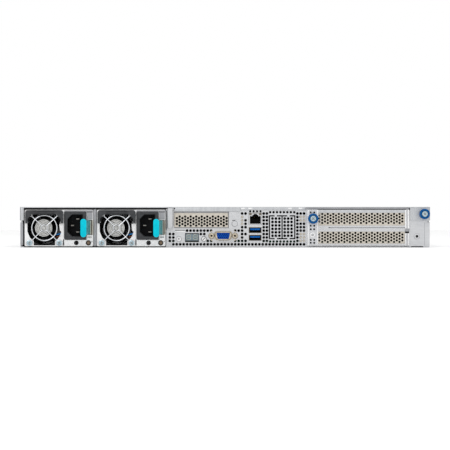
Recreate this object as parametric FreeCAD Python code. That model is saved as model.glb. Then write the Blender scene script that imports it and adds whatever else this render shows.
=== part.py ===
import FreeCAD, Part
import math
import os

Vector = FreeCAD.Vector

# Facets of the round bars and holes: wide ones, middling ones and small ones
wide_sides = 18
middle_sides = 12
small_sides = 8
vent_sides = 4

# Body of the machine, in millimetres
body_width = 439.5
body_depth = 842.5
body_height = 43.4
sheet = 1.0
cover_gap = 0.3
run_gap = 0.3
through = 1.0

# Rack ears, with the holes of one rack unit
ear_reach = 21.55
ear_thickness = 2.0
ear_edge = 2.025
ear_flange_length = 60.0
rack_hole_edge = 8.75
rack_hole_rise = 31.75
rack_slot_length = 10.3
rack_slot_width = 6.8

# Folded side walls and floor
side_step_z = 26.8
side_step_rise = 1.5
side_bar = 3.2
side_bar_proud = 0.2
side_bar_low = 2.0
bend_radius = 0.9
post_radius = 3.0
post_sides = 6
post_side_inset = 24.75
post_board_inset = 20.0

# Folded cover that lifts off, and the fixed cover in front of it
front_cover_length = 201.9
cover_seam = 0.6
cover_flange_gap = 0.5
cover_return = 4.2
cover_tab_gap = 1.25
io_flange_gap = 1.0
io_flange_drop = 4.8
lan_flange_lead = 16.0
lan_flange_drop = 3.2
riser_flange_lead = 3.0
riser_flange_drop = 2.2

# Power supplies and their bays
supply_depth = 184.8
supply_floor_gap = 0.2
supply_roof_gap = 2.0
supply_side_gap = 4.95
supply_between = 4.0
supply_wall = 0.8
supply_chamfer = 1.0
supply_face_depth = 0.2
supply_duct_depth = 46.0
supply_travel_room = 5.5
divider_bar = 3.4
divider_proud = 0.3
bay_wall_gap = 0.4
bay_wall_foot = 9.0
card_thickness = 1.6
edge_card_width = 50.0
edge_card_length = 8.0
edge_card_up = 5.0
edge_card_gap = 0.8
power_socket_side = 3.0
power_socket_height = 9.0
power_socket_reach = 9.0
power_board_gap = 2.0
power_board_drop = 4.0

# Supply fan, its guard and handle
supply_fan_side_gap = 1.8
supply_fan_fit = 0.2
supply_fan_length = 27.0
supply_fan_rim = 1.2
supply_fan_hub = 9.6
supply_window_lip = 0.2
supply_hub_mount = 3.0
fan_seat_gap = 0.1
fan_screw_inset = 2.6
fan_screw_head = 3.2
fan_screw_proud = 0.8
fan_blade_gap = 0.6
rotor_rear_gap = 1.1
guard_wire = 1.6
guard_ring_radius = 13.5
guard_eye_radius = 3.5
guard_hook_x = 14.5
guard_hook_z = 13.5
handle_side = 1.8
handle_leg = 2.8
handle_bar = 4.6
handle_depth = 2.6
handle_gap = 0.4
handle_corner = 2.0
handle_throat = 4.6
handle_drop = 13.4
handle_top_gap = 0.4
handle_lug = 1.5
handle_lug_reach = 1.3
handle_lug_half = 1.6
pivot_radius = 0.8
pivot_gap = 0.1

# Mains inlet, turned a quarter
inlet_handle_gap = 0.7
inlet_width = 24.0
inlet_up = 7.3
inlet_top_gap = 1.9
inlet_bezel = 1.5
inlet_body_inset = 1.0
inlet_body_depth = 20.0
socket_side = 3.6
socket_end = 3.0
socket_shift = 0.1
socket_chamfer = 5.0
socket_depth = 16.0
blade_long = 4.0
blade_thin = 2.0
blade_length = 12.0
live_pitch = 14.0
earth_offset = 3.1
live_offset = 2.6

# Release latch of a supply
latch_inlet_gap = 0.8
latch_window_width = 5.6
latch_window_up = 12.2
latch_window_height = 16.0
latch_tab_width = 7.3
latch_tab_height = 19.5
latch_tab_up = 9.8
latch_tab_gap = 0.9
latch_proud = 20.0
latch_plate = 2.2
latch_bend = 1.2
latch_arm = 2.0
latch_arm_gap = 1.3
latch_arm_reach = 24.0
latch_side_gap = 0.5
latch_pivot_depth = 14.0
latch_pivot_gap = 0.4
latch_boss_radius = 1.9
latch_pin_radius = 1.0
supply_lamp_radius = 2.7
supply_lamp_shift = 1.3
supply_hole_radius = 2.5
supply_hole_shift = 13.1

# Rear panel, its places measured from its left edge
panel_low = 0.8
panel_top_gap = 1.4
panel_side_gap = 1.2
half_slot_in = 8.9
half_slot_width = 58.1
half_slot_height = 15.5
half_slot_drop = 4.1
half_slot_corner = 2.0
display_in = 20.4
display_width = 15.2
display_low = 6.1
display_drop = 6.3
display_recess = 0.4
display_depth = 9.0
rear_button_in = (14.0, 40.8)
rear_button_z = 9.1
rear_button_radius = 2.9
rear_button_proud = 1.0
rear_button_back = 3.8
rear_switch_size = 7.0
rear_switch_depth = 6.0
port_lip = 0.2
vga_in = 61.5
vga_drop = 9.0
vga_screw_pitch = 25.0
vga_flange_length = 31.0
vga_flange_height = 11.4
vga_shell_width = 18.4
vga_shell_height = 10.0
vga_shell_proud = 5.6
vga_shell_taper = 1.6
vga_body_depth = 14.0
jack_radius = 2.6
jack_proud = 4.4
jack_sides = 6
lan_in = 95.9
lan_width = 13.8
lan_height = 12.4
lan_drop = 4.0
lan_mouth_width = 11.7
lan_mouth_height = 8.2
lan_mouth_up = 0.7
lan_latch_width = 6.2
lan_latch_rise = 2.4
lan_mouth_depth = 14.0
lan_latch_short = 2.0
lan_body_width = 16.0
lan_body_depth = 22.0
lan_body_rise = 0.6
usb_in = 95.7
usb_row_pitch = 8.2
usb_drop = 6.1
usb_shell_width = 13.1
usb_shell_height = 5.8
usb_shell_proud = 0.4
usb_wall = 0.45
usb_mouth_depth = 9.0
usb_tongue = 1.7
usb_tongue_side = 1.2
usb_tongue_up = 0.3
usb_body_width = 14.4
usb_body_depth = 20.0
usb_body_rise = 0.7
knockout_in = 111.0
knockout_width = 27.2
knockout_low = 8.7
knockout_drop = 6.5
knockout_slit = 1.0
knockout_bridge = 2.4
boss_side_in = 13.95
boss_z = 11.9
boss_radius = 1.1

# Expansion slots and their perforated covers
slot_rise = 8.88
slot_drop = 9.4
slot_between = 3.52
slot_frame = 1.0
half_cover_side = 1.5
half_cover_end = 0.6
vent_radius = 0.98
vent_pitch = 2.96
vent_row = 3.2
half_vent_left = 2.9
half_vent_right = 1.2
half_vent_low = 0.95
full_vent_left = 1.4
full_vent_right = 1.7
retainer_in = 1.2
retainer_width = 7.6
retainer_drop = 0.9
retainer_proud = 3.8
retainer_wall = 0.8
retainer_lean = 1.0
retainer_slope = 2.0
retainer_lip = 0.9
retainer_taper = 3.4

# Riser cage, from the left edge of its bracket to the right side of the body
bracket_in = 152.7
bracket_low = 1.8
bracket_end = 2.8
bracket_seat = 0.1
riser_in = 9.6
riser_side_in = 25.55
riser_sill = 1.9
slot_open_left_in = 1.0
slot_open_right_in = 1.6
bracket_slit_in = 11.0
bracket_slit = 0.7
bracket_slit_up = -0.04
cage_wall_in = 2.7
cage_length = 188.0
cage_roof = 30.0
riser_card_in = 24.0
riser_card_length = 160.0
slot_socket_start = 15.0
slot_socket_length = 90.0
slot_socket_depth = 10.5
slot_socket_height = 7.0

# Knurled captive screws
knob_radius = 5.65
knob_length = 11.0
knob_shank = 1.8
knob_washer = 0.3
knob_ring_in = 2.2
knob_core_in = 2.7
knob_ring_depth = 1.2
knob_core_depth = 2.0
knob_core_proud = 0.2
cross_reach = 2.0
cross_half = 0.4
cross_depth = 1.0
cover_knob_in = 6.35
cover_knob_drop = 7.6
riser_knob_in = 5.0
riser_knob_low = 0.2

# Boards and what stands on them
board_low = 5.2
board_rear = 6.5
board_side_gap = 7.75
board_bay_gap = 3.4
board_fan_gap = 17.0
cooler_width = 78.0
cooler_length = 108.0
cooler_base = 5.0
cooler_height = 26.0
cooler_fins = 7
fin_thickness = 1.6
cpu_size = 44.0
cpu_length = 60.0
cpu_height = 3.0
cpu_x = 105.0
cpu_in = 90.0
memory_pitch = 8.5
memory_first = 46.5
memory_per_side = 4
socket_length = 142.0
memory_socket_width = 6.4
memory_socket_height = 6.0
memory_socket_floor = 2.0
module_length = 133.4
module_roof_gap = 1.4
module_thickness = 1.2
module_slot_gap = 0.3
shroud_wall = 1.0
shroud_memory_gap = 9.8
shroud_length = 177.0
shroud_fan_gap = 10.0
shroud_top_gap = 0.6

# Row of system fans
fan_count = 6
fan_side_room = 9.75
fan_roof_gap = 0.4
fan_length = 56.0
fan_rim = 1.4
fan_hub = 10.5
fan_bay_gap = 72.0
fan_rotor_length = 22.0
fan_blades = 5
fan_strut = 2.5
fan_strut_depth = 4.0
blade_thickness = 1.2
blade_tilt = 35.0
blade_end_gap = 0.5
blade_root = 3.0
channel_lip = 12.0
channel_gap = 2.0

# Drive bays at the front
bay_count = 4
bay_side_room = 5.35
bay_roof_drop = 10.5
bay_rear_gap = 2.5
cage_front_bar = 4.0
tray_side_gap = 1.1
tray_top_gap = 1.6
tray_rail = 1.4
tray_rail_drop = 6.0
tray_low = 2.0
tray_face_depth = 13.0
tray_face_wall = 3.0
tray_back_wall = 4.0
tray_length = 150.0
tray_strap = 10.0
tray_strap_in = 30.0
lever_end_room = 13.0
lever_height = 18.0
lever_thickness = 5.0
lever_inset = 8.0
lever_grip = 10.0
lever_grip_end = 6.0
lever_grip_depth = 2.2
lever_grip_side = 3.0
backplane_drop = 2.0
backplane_plug_left = 25.0
backplane_plug_right = 20.0
backplane_plug_up = 5.0
backplane_plug_height = 7.0
backplane_vent = 80.0
backplane_vent_height = 6.0
backplane_vent_drop = 2.0
grille_slots = 12
grille_slot_width = 24.0
grille_slot_height = 4.6
grille_end_room = 25.0
grille_shift = 12.0
front_button_radius = 3.0
front_button_length = 7.0
front_button_proud = 0.8
front_button_side_in = (20.75, 10.25)

# Derived heights
top_skin_low = body_height - sheet
wall_top = top_skin_low - cover_gap
cover_flange_z = side_step_z + side_step_rise + cover_flange_gap
supply_low = sheet + supply_floor_gap
supply_high = top_skin_low - supply_roof_gap
supply_height = supply_high - supply_low
fan_centre_z = (supply_low + supply_high) / 2
supply_fan_size = supply_height - 2 * supply_wall - 2 * supply_fan_fit
supply_fan_bore = supply_fan_size / 2 - supply_fan_rim
supply_fan_window = supply_fan_bore + supply_window_lip
fan_screw_pitch = supply_fan_size - 2 * fan_screw_inset
handle_pin_z = supply_high - handle_drop
inlet_height = supply_height - inlet_up - inlet_top_gap
socket_width = inlet_width - 2 * socket_side
socket_height = inlet_height - 2 * socket_end
panel_high = top_skin_low - panel_top_gap
half_slot_high = panel_high - half_slot_drop
half_slot_low = half_slot_high - half_slot_height
display_high = half_slot_low - display_drop
vga_z = half_slot_low - vga_drop
half_slot_z = (half_slot_low + half_slot_high) / 2 - half_vent_low
lan_high = panel_high - lan_drop
lan_low = lan_high - lan_height
usb_high = lan_low - usb_drop
usb_rows = (usb_high - usb_row_pitch, usb_high)
knockout_high = panel_high - knockout_drop
retainer_low = half_slot_low - retainer_drop
bracket_high = supply_high
upper_slot_z = bracket_high - slot_drop
lower_slot_z = bracket_low + slot_rise
slot_cover_height = upper_slot_z - lower_slot_z - slot_between
slot_open_height = slot_cover_height - 2 * slot_frame
cover_knob_z = body_height - cover_knob_drop
riser_knob_z = upper_slot_z - riser_knob_low
board_top = board_low + card_thickness
fan_size = top_skin_low - fan_roof_gap - 2 * sheet
fan_bore = fan_size / 2 - fan_rim
fan_row_z = 2 * sheet + fan_size / 2
shroud_high = wall_top - shroud_top_gap
module_low = board_top + memory_socket_floor + module_slot_gap
module_height = shroud_high - shroud_wall - module_roof_gap - module_low
bay_shelf_z = wall_top - bay_roof_drop
tray_face_height = bay_shelf_z - tray_low - tray_top_gap
tray_rail_height = tray_face_height - tray_rail_drop
grille_z = (bay_shelf_z + sheet + wall_top) / 2
ear_height = rack_hole_rise + rack_slot_width + 2 * ear_edge

# Derived places across the body
half_width = body_width / 2
lower_wall_x = half_width - cover_gap
upper_wall_x = half_width - sheet - cover_gap
fan_centre_in = supply_wall + supply_fan_side_gap + supply_fan_size / 2
handle_width = supply_fan_size + 2 * handle_side
inlet_in = fan_centre_in + handle_width / 2 + inlet_handle_gap
latch_window_in = inlet_in + inlet_width + latch_inlet_gap
supply_lamp_in = latch_window_in + supply_lamp_shift
supply_hole_in = inlet_in + supply_hole_shift
supply_width = latch_window_in + latch_window_width + supply_wall
supply_left = supply_side_gap - half_width
supply_pitch = supply_width + supply_between
panel_left = supply_left + supply_pitch + supply_width + bay_wall_gap
retainer_left = panel_left + retainer_in
retainer_right = retainer_left + retainer_width
half_slot_left = panel_left + half_slot_in
half_slot_right = half_slot_left + half_slot_width
display_left = panel_left + display_in
display_right = display_left + display_width
rear_button_x = [panel_left + place for place in rear_button_in]
vga_x = panel_left + vga_in
lan_x = panel_left + lan_in
usb_x = panel_left + usb_in
knockout_left = panel_left + knockout_in
knockout_right = knockout_left + knockout_width
bracket_left = panel_left + bracket_in
riser_knob_x = bracket_left + riser_knob_in
riser_left = bracket_left + riser_in
riser_right = half_width - riser_side_in
bracket_right = riser_right + bracket_end
slot_open_left = riser_left + slot_open_left_in
slot_open_right = riser_right - slot_open_right_in
cage_wall_x = riser_left + cage_wall_in
cover_tab_left = bracket_right + cover_tab_gap
cover_knob_x = half_width - cover_knob_in
boss_x = half_width - boss_side_in
board_half_width = half_width - board_side_gap
board_left = panel_left + board_bay_gap
memory_last = memory_first + (memory_per_side - 1) * memory_pitch
shroud_half_width = cpu_x + memory_last + memory_socket_width / 2 + shroud_memory_gap
fan_pitch = (body_width - 2 * fan_side_room) / fan_count
bay_pitch = (body_width - 2 * bay_side_room) / bay_count
tray_width = bay_pitch - 2 * tray_side_gap
lever_length = tray_width - lever_inset - lever_end_room
front_button_x = [half_width - place for place in front_button_side_in]

# Derived depths, counted in from the rear face
rear_face_y = (latch_proud - body_depth - front_button_proud) / 2
cover_rear = -sheet - cover_gap
bracket_rear = -sheet - run_gap + bracket_seat
bracket_front = bracket_rear + sheet
cover_depth = body_depth - front_cover_length - cover_seam
power_board_depth = supply_depth + edge_card_length + power_board_gap
board_step = power_board_depth + 2 * card_thickness
bay_rear = body_depth - tray_length - bay_rear_gap
fan_depth = bay_rear - fan_bay_gap - fan_length
board_front = fan_depth - board_fan_gap
shroud_front = fan_depth - shroud_fan_gap
shroud_rear = shroud_front - shroud_length
cpu_depth = board_front - cpu_in
handle_middle = supply_face_depth - guard_wire - handle_gap - handle_depth / 2


def at(depth):
    """Y of a place that is so far in from the rear face."""
    return rear_face_y + depth


def block(x0, x1, d0, d1, z0, z1):
    return Part.makeBox(x1 - x0, d1 - d0, z1 - z0, Vector(x0, at(d0), z0))


def disc(x, z, radius, d0, d1, sides):
    """Bar along the depth, round enough for its size."""
    return prism_xz(polygon_points(x, z, radius, sides, 180.0 / sides), d0, d1)


def post(x, depth, radius, z0, z1, sides):
    """Bar standing up."""
    return prism_xy(polygon_points(x, depth, radius, sides, 180.0 / sides), z0, z1)


def pin_x(x0, x1, depth, z, radius, sides):
    """Bar from side to side."""
    corners = [Vector(x0, at(d), h) for d, h in polygon_points(depth, z, radius, sides, 180.0 / sides)]
    return Part.Face(Part.makePolygon(corners + corners[:1])).extrude(Vector(x1 - x0, 0, 0))


def outline_xz(points, depth):
    corners = [Vector(x, at(depth), z) for x, z in points]
    return Part.makePolygon(corners + corners[:1])


def prism_xz(points, d0, d1):
    """Outline seen from the rear, as thick as the two depths."""
    return Part.Face(outline_xz(points, d0)).extrude(Vector(0, d1 - d0, 0))


def prism_xy(points, z0, z1):
    """Outline seen from above, its points given as X and depth."""
    corners = [Vector(x, at(depth), z0) for x, depth in points]
    return Part.Face(Part.makePolygon(corners + corners[:1])).extrude(Vector(0, 0, z1 - z0))


def polygon_points(x, z, radius, sides, turn=0.0):
    angles = [math.radians(turn) + 2 * math.pi * step / sides for step in range(sides)]
    return [(x + radius * math.cos(a), z + radius * math.sin(a)) for a in angles]


def rounded_box(x0, x1, d0, d1, z0, z1, radius):
    """Plate whose four corners are rounded, seen from the rear."""
    plate = block(x0, x1, d0, d1, z0, z1)
    upright = [e for e in plate.Edges if abs(e.tangentAt(e.FirstParameter).y) > 0.99]
    return plate.makeFillet(radius, upright)


def fuse(parts):
    body = parts[0].multiFuse(parts[1:])
    return body.removeSplitter()


def centred(count, pitch):
    """Places of a row that is centred on zero."""
    return [(index - (count - 1) / 2) * pitch for index in range(count)]


# Sheet metal of the body
def chassis_base():
    """Floor with its posts, and the two stepped side walls that stand on its rims."""
    outer = [(-lower_wall_x, sheet), (-lower_wall_x, side_step_z),
             (-upper_wall_x, side_step_z + side_step_rise), (-upper_wall_x, wall_top)]
    inner = [(x + sheet, z) for x, z in reversed(outer)]
    left_wall = prism_xz(outer + inner, sheet, body_depth)
    right_wall = prism_xz([(-x, z) for x, z in outer + inner], sheet, body_depth)
    rear_return = block(-lower_wall_x, -lower_wall_x + side_bar, -side_bar_proud, 1.5 * sheet,
                        side_bar_low, side_step_z)
    floor = block(-lower_wall_x, lower_wall_x, sheet, body_depth, 0, sheet)
    floor_edges = [e for e in floor.Edges if e.Length > body_depth / 2 and e.CenterOfMass.z < sheet / 2]
    floor = floor.makeFillet(bend_radius, floor_edges)
    posts = []
    for x in (post_side_inset - half_width, 0, half_width - post_side_inset):
        for depth in (board_step + post_board_inset, board_front - post_board_inset):
            posts.append(post(x, depth, post_radius, sheet / 2, board_low, post_sides))
    return Part.makeCompound([fuse([floor] + posts), fuse([left_wall, rear_return]), right_wall])


def top_cover():
    """Skin on its two side runners, with the stepped flange and the screw tab along its rear."""
    inner = half_width - sheet
    skin = block(-half_width, half_width, cover_rear, cover_depth, top_skin_low, body_height)
    io_left = retainer_right + io_flange_gap
    lan_left = lan_x - lan_flange_lead
    riser_flange_left = bracket_left - riser_flange_lead
    folds = ((io_left, lan_left, body_height - io_flange_drop),
             (lan_left, riser_flange_left, body_height - lan_flange_drop),
             (riser_flange_left, cover_tab_left, body_height - riser_flange_drop))
    flange = fuse([block(x0, x1, cover_rear, -cover_gap, low, top_skin_low) for x0, x1, low in folds])
    tab = block(cover_tab_left, inner, cover_rear, -cover_gap, cover_flange_z, top_skin_low)
    tab = tab.cut(disc(cover_knob_x, cover_knob_z, knob_shank + run_gap, cover_rear - through, through, small_sides))
    left_runner = block(-half_width, -inner, cover_rear, cover_depth, cover_flange_z, top_skin_low)
    left_end = block(-half_width, cover_return - half_width, cover_rear, -cover_gap, cover_flange_z, top_skin_low)
    right_runner = block(inner, half_width, cover_rear, cover_depth, cover_flange_z, top_skin_low)
    return Part.makeCompound([skin, flange, tab, fuse([left_runner, left_end]), right_runner])


def front_cover():
    inner = half_width - sheet
    section = [(-half_width, cover_flange_z), (-half_width, body_height), (half_width, body_height),
               (half_width, cover_flange_z), (inner, cover_flange_z), (inner, top_skin_low),
               (-inner, top_skin_low), (-inner, cover_flange_z)]
    return prism_xz(section, cover_depth + cover_seam, body_depth)


def rear_panel():
    upper_right = upper_wall_x - panel_side_gap
    outline = [(panel_left, panel_low), (lower_wall_x, panel_low), (lower_wall_x, side_step_z),
               (upper_right, side_step_z), (upper_right, panel_high), (riser_right, panel_high),
               (riser_right, riser_sill), (riser_left, riser_sill), (riser_left, panel_high),
               (panel_left, panel_high)]
    plate = prism_xz(outline, 0, sheet)
    span = (-through, sheet + through)
    vga_length = vga_flange_length + 2 * run_gap
    vga_height = vga_flange_height + 2 * run_gap
    lan_half = lan_width / 2 + run_gap
    cuts = [rounded_box(half_slot_left, half_slot_right, *span, half_slot_low, half_slot_high, half_slot_corner),
            block(display_left, display_right, *span, display_low, display_high),
            oval_plate(vga_x, vga_z, vga_length, vga_height, *span),
            block(lan_x - lan_half, lan_x + lan_half, *span, lan_low - run_gap, lan_high + run_gap),
            disc(boss_x, boss_z, boss_radius, *span, small_sides),
            disc(riser_knob_x, riser_knob_z, knob_shank + run_gap, *span, small_sides)]
    for x in rear_button_x:
        cuts.append(disc(x, rear_button_z, rear_button_radius + run_gap, *span, middle_sides))
    for z in usb_rows:
        half_x = usb_shell_width / 2 + run_gap
        half_z = usb_shell_height / 2 + run_gap
        cuts.append(block(usb_x - half_x, usb_x + half_x, *span, z - half_z, z + half_z))
    return plate.cut(cuts + knockout_slits(span))


def knockout_slits(span):
    """Slits round the two knock-out plates, broken by the bridges that hold them."""
    middle = (knockout_left + knockout_right) / 2
    slits = []
    for x in (knockout_left, middle, knockout_right):
        slits.append(block(x - knockout_slit / 2, x + knockout_slit / 2, *span, knockout_low, knockout_high))
    for left, right in ((knockout_left, middle), (middle, knockout_right)):
        bridge = (left + right) / 2
        for z in (knockout_low, knockout_high - knockout_slit):
            slits.append(block(left, bridge - knockout_bridge / 2, *span, z, z + knockout_slit))
            slits.append(block(bridge + knockout_bridge / 2, right, *span, z, z + knockout_slit))
    return slits


def oval_plate(x, z, length, height, d0, d1):
    """Plate whose ends are half octagons, for a small flange and its opening."""
    reach = length / 2
    rise = height / 2
    slope = rise * (2 - math.sqrt(2))
    points = [(x - reach, z + rise - slope), (x - reach + slope, z + rise), (x + reach - slope, z + rise),
              (x + reach, z + rise - slope), (x + reach, z - rise + slope), (x + reach - slope, z - rise),
              (x - reach + slope, z - rise), (x - reach, z - rise + slope)]
    return prism_xz(points, d0, d1)


def stadium(x, z, length, height, d0, d1):
    """Plate with fully rounded ends."""
    reach = (length - height) / 2
    radius = height / 2
    y = at(d0)
    left_top = Vector(x - reach, y, z + radius)
    left_low = Vector(x - reach, y, z - radius)
    right_top = Vector(x + reach, y, z + radius)
    right_low = Vector(x + reach, y, z - radius)
    right_end = Vector(x + reach + radius, y, z)
    left_end = Vector(x - reach - radius, y, z)
    edges = [Part.LineSegment(left_top, right_top), Part.Arc(right_top, right_end, right_low),
             Part.LineSegment(right_low, left_low), Part.Arc(left_low, left_end, left_top)]
    wire = Part.Wire([edge.toShape() for edge in edges])
    return Part.Face(wire).extrude(Vector(0, d1 - d0, 0))


# Slot covers, the skilled sheet metal of the rear
def vent_centres(left, right, middle_z):
    """Staggered columns of three and four holes."""
    columns = 1 + int((right - left) / vent_pitch)
    centres = []
    for column in range(columns):
        rows = 3 + column % 2
        for offset in centred(rows, vent_row):
            centres.append((left + column * vent_pitch, middle_z + offset))
    return centres


def slot_cover(x0, x1, z0, z1, depth, centres):
    wires = [outline_xz([(x0, z0), (x1, z0), (x1, z1), (x0, z1)], depth)]
    for x, z in centres:
        wires.append(outline_xz(polygon_points(x, z, vent_radius, vent_sides), depth))
    face = Part.makeFace(wires, "Part::FaceMakerBullseye")
    return face.extrude(Vector(0, sheet, 0))


def full_height_slot_covers():
    covers = []
    for middle in (lower_slot_z, upper_slot_z):
        centres = vent_centres(slot_open_left + full_vent_left, slot_open_right - full_vent_right, middle)
        low = middle - slot_cover_height / 2
        high = middle + slot_cover_height / 2
        covers.append(slot_cover(riser_left + run_gap, riser_right - run_gap, low, high, 0, centres))
    return Part.makeCompound(covers)


def low_profile_slot_cover():
    centres = vent_centres(half_slot_left + half_vent_left, half_slot_right - half_vent_right, half_slot_z)
    return slot_cover(half_slot_left - half_cover_side, half_slot_right + half_cover_side,
                      half_slot_low - half_cover_end, half_slot_high + half_cover_end, sheet + run_gap, centres)


def slot_retainer():
    """Folded channel that holds down the end of the low-profile cover."""
    front = -run_gap
    rear = -retainer_proud
    slope_x = retainer_right - retainer_slope
    inner_rear = rear + retainer_wall
    half = retainer_wall / 2
    outer = [(retainer_left, front), (retainer_left + retainer_lean, rear), (slope_x, rear),
             (retainer_right, front - retainer_lip), (retainer_right, front)]
    inner_right = retainer_right - retainer_wall
    inner = [(inner_right, front), (inner_right, front - retainer_lip + run_gap), (slope_x - half, inner_rear),
             (retainer_left + retainer_lean + half, inner_rear),
             (retainer_left + retainer_wall, front)]
    channel = prism_xy(outer + inner, retainer_low, wall_top)
    taper = prism_xz([(retainer_right - retainer_taper + through, retainer_low - through),
                      (retainer_right + through, retainer_low - through),
                      (retainer_right + through, retainer_low + retainer_taper)], rear - through, front + through)
    return channel.cut(taper)


def riser_cage():
    """Bracket of the two slots, with the wall and roof that carry the riser card behind it."""
    plate = block(bracket_left, bracket_right, bracket_rear, bracket_front, bracket_low, bracket_high)
    span = (bracket_rear - through, bracket_front + through)
    cuts = []
    for middle in (lower_slot_z, upper_slot_z):
        cuts.append(block(slot_open_left, slot_open_right, *span,
                          middle - slot_open_height / 2, middle + slot_open_height / 2))
    slit_low = (lower_slot_z + upper_slot_z) / 2 + bracket_slit_up
    cuts.append(block(slot_open_left + bracket_slit_in, slot_open_right, *span, slit_low, slit_low + bracket_slit))
    cuts.append(disc(riser_knob_x, riser_knob_z, knob_shank + run_gap, *span, small_sides))
    plate = plate.cut(cuts)
    wall_right = cage_wall_x + sheet
    roof_right = cage_wall_x + cage_roof
    wall = block(cage_wall_x, wall_right, bracket_rear, cage_length, board_top + run_gap, bracket_high)
    roof = block(cage_wall_x, roof_right, bracket_rear, cage_length, bracket_high - sheet, bracket_high)
    notch = block(cage_wall_x - through, roof_right + through, -run_gap, sheet + run_gap, 0, bracket_high - sheet)
    return fuse([plate, fuse([wall, roof]).cut(notch)])


def riser_card():
    left = cage_wall_x + sheet + run_gap
    right = left + card_thickness
    socket_start = riser_card_in + slot_socket_start
    parts = [block(left, right, riser_card_in, riser_card_in + riser_card_length,
                   board_top + run_gap, bracket_high - sheet - run_gap)]
    for middle in (lower_slot_z, upper_slot_z):
        parts.append(block(right, right + slot_socket_depth, socket_start, socket_start + slot_socket_length,
                           middle - slot_socket_height / 2, middle + slot_socket_height / 2))
    return fuse(parts)


# Ports of the rear panel
def vga_port():
    flange = oval_plate(vga_x, vga_z, vga_flange_length, vga_flange_height, port_lip, port_lip + sheet)
    half_w = vga_shell_width / 2
    half_h = vga_shell_height / 2
    shell = prism_xz([(vga_x - half_w, vga_z + half_h), (vga_x - half_w + vga_shell_taper, vga_z - half_h),
                      (vga_x + half_w - vga_shell_taper, vga_z - half_h), (vga_x + half_w, vga_z + half_h)],
                     -vga_shell_proud, port_lip)
    body = block(vga_x - vga_flange_length / 2, vga_x + vga_flange_length / 2, port_lip + sheet, vga_body_depth,
                 board_top, vga_z + vga_flange_height / 2)
    parts = [flange, shell, body]
    for side in (-1, 1):
        jack_x = vga_x + side * vga_screw_pitch / 2
        parts.append(prism_xz(polygon_points(jack_x, vga_z, jack_radius, jack_sides), -jack_proud, port_lip))
    return fuse(parts)


def lan_port():
    body_low = usb_rows[1] + (usb_shell_height + lan_body_rise) / 2 + usb_body_rise
    mouth_low = lan_low + lan_mouth_up
    mouth_high = mouth_low + lan_mouth_height
    nose = block(lan_x - lan_width / 2, lan_x + lan_width / 2, port_lip, port_lip + sheet, lan_low, lan_high)
    body = block(lan_x - lan_body_width / 2, lan_x + lan_body_width / 2, port_lip + sheet, lan_body_depth,
                 body_low, lan_high + lan_body_rise)
    mouth = block(lan_x - lan_mouth_width / 2, lan_x + lan_mouth_width / 2, 0, lan_mouth_depth,
                  mouth_low, mouth_high)
    latch_way = block(lan_x - lan_latch_width / 2, lan_x + lan_latch_width / 2, 0,
                      lan_mouth_depth - lan_latch_short, mouth_low, mouth_high + lan_latch_rise)
    return fuse([nose, body]).cut([mouth, latch_way])


def usb_ports():
    half_x = usb_shell_width / 2
    half_z = usb_shell_height / 2
    tongue_half = half_x - usb_tongue_side
    parts = [block(usb_x - usb_body_width / 2, usb_x + usb_body_width / 2, port_lip + sheet, usb_body_depth,
                   board_top, usb_rows[1] + half_z + usb_body_rise)]
    mouths = []
    for z in usb_rows:
        parts.append(block(usb_x - half_x, usb_x + half_x, -usb_shell_proud, port_lip + sheet,
                           z - half_z, z + half_z))
        mouth = block(usb_x - half_x + usb_wall, usb_x + half_x - usb_wall, -through, usb_mouth_depth,
                      z - half_z + usb_wall, z + half_z - usb_wall)
        tongue = block(usb_x - tongue_half, usb_x + tongue_half, usb_shell_proud, usb_mouth_depth,
                       z + usb_tongue_up, z + usb_tongue_up + usb_tongue)
        mouths.append(mouth.cut(tongue))
    return fuse(parts).cut(mouths)


def status_display():
    left = display_left + run_gap
    right = display_right - run_gap
    high = display_high - run_gap
    nose = block(left, right, display_recess, sheet + run_gap, display_low + run_gap, high)
    body = block(left, right, sheet + run_gap, display_depth, board_top, high)
    return fuse([nose, body])


def rear_button(index):
    return disc(rear_button_x[index], rear_button_z, rear_button_radius, -rear_button_proud, rear_button_back,
                middle_sides)


def thumbscrew(x, z, seat):
    """Knurled captive screw with its cross recess, on a round shank."""
    rear = seat - knob_length
    front = seat - knob_washer
    core_rear = rear - knob_core_proud
    knob = disc(x, z, knob_radius, rear, front, wide_sides)
    ring = disc(x, z, knob_radius - knob_ring_in, rear - through, rear + knob_ring_depth, middle_sides)
    core = disc(x, z, knob_radius - knob_core_in, core_rear, rear + knob_core_depth, small_sides)
    shank = Part.makeCylinder(knob_shank, sheet + knob_washer, Vector(x, at(front), z), Vector(0, 1, 0))
    arms = []
    for half_x, half_z in ((cross_reach, cross_half), (cross_half, cross_reach)):
        arms.append(block(x - half_x, x + half_x, rear - through, rear + cross_depth, z - half_z, z + half_z))
    return fuse([knob.cut(ring), core.cut(arms), shank])


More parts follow.
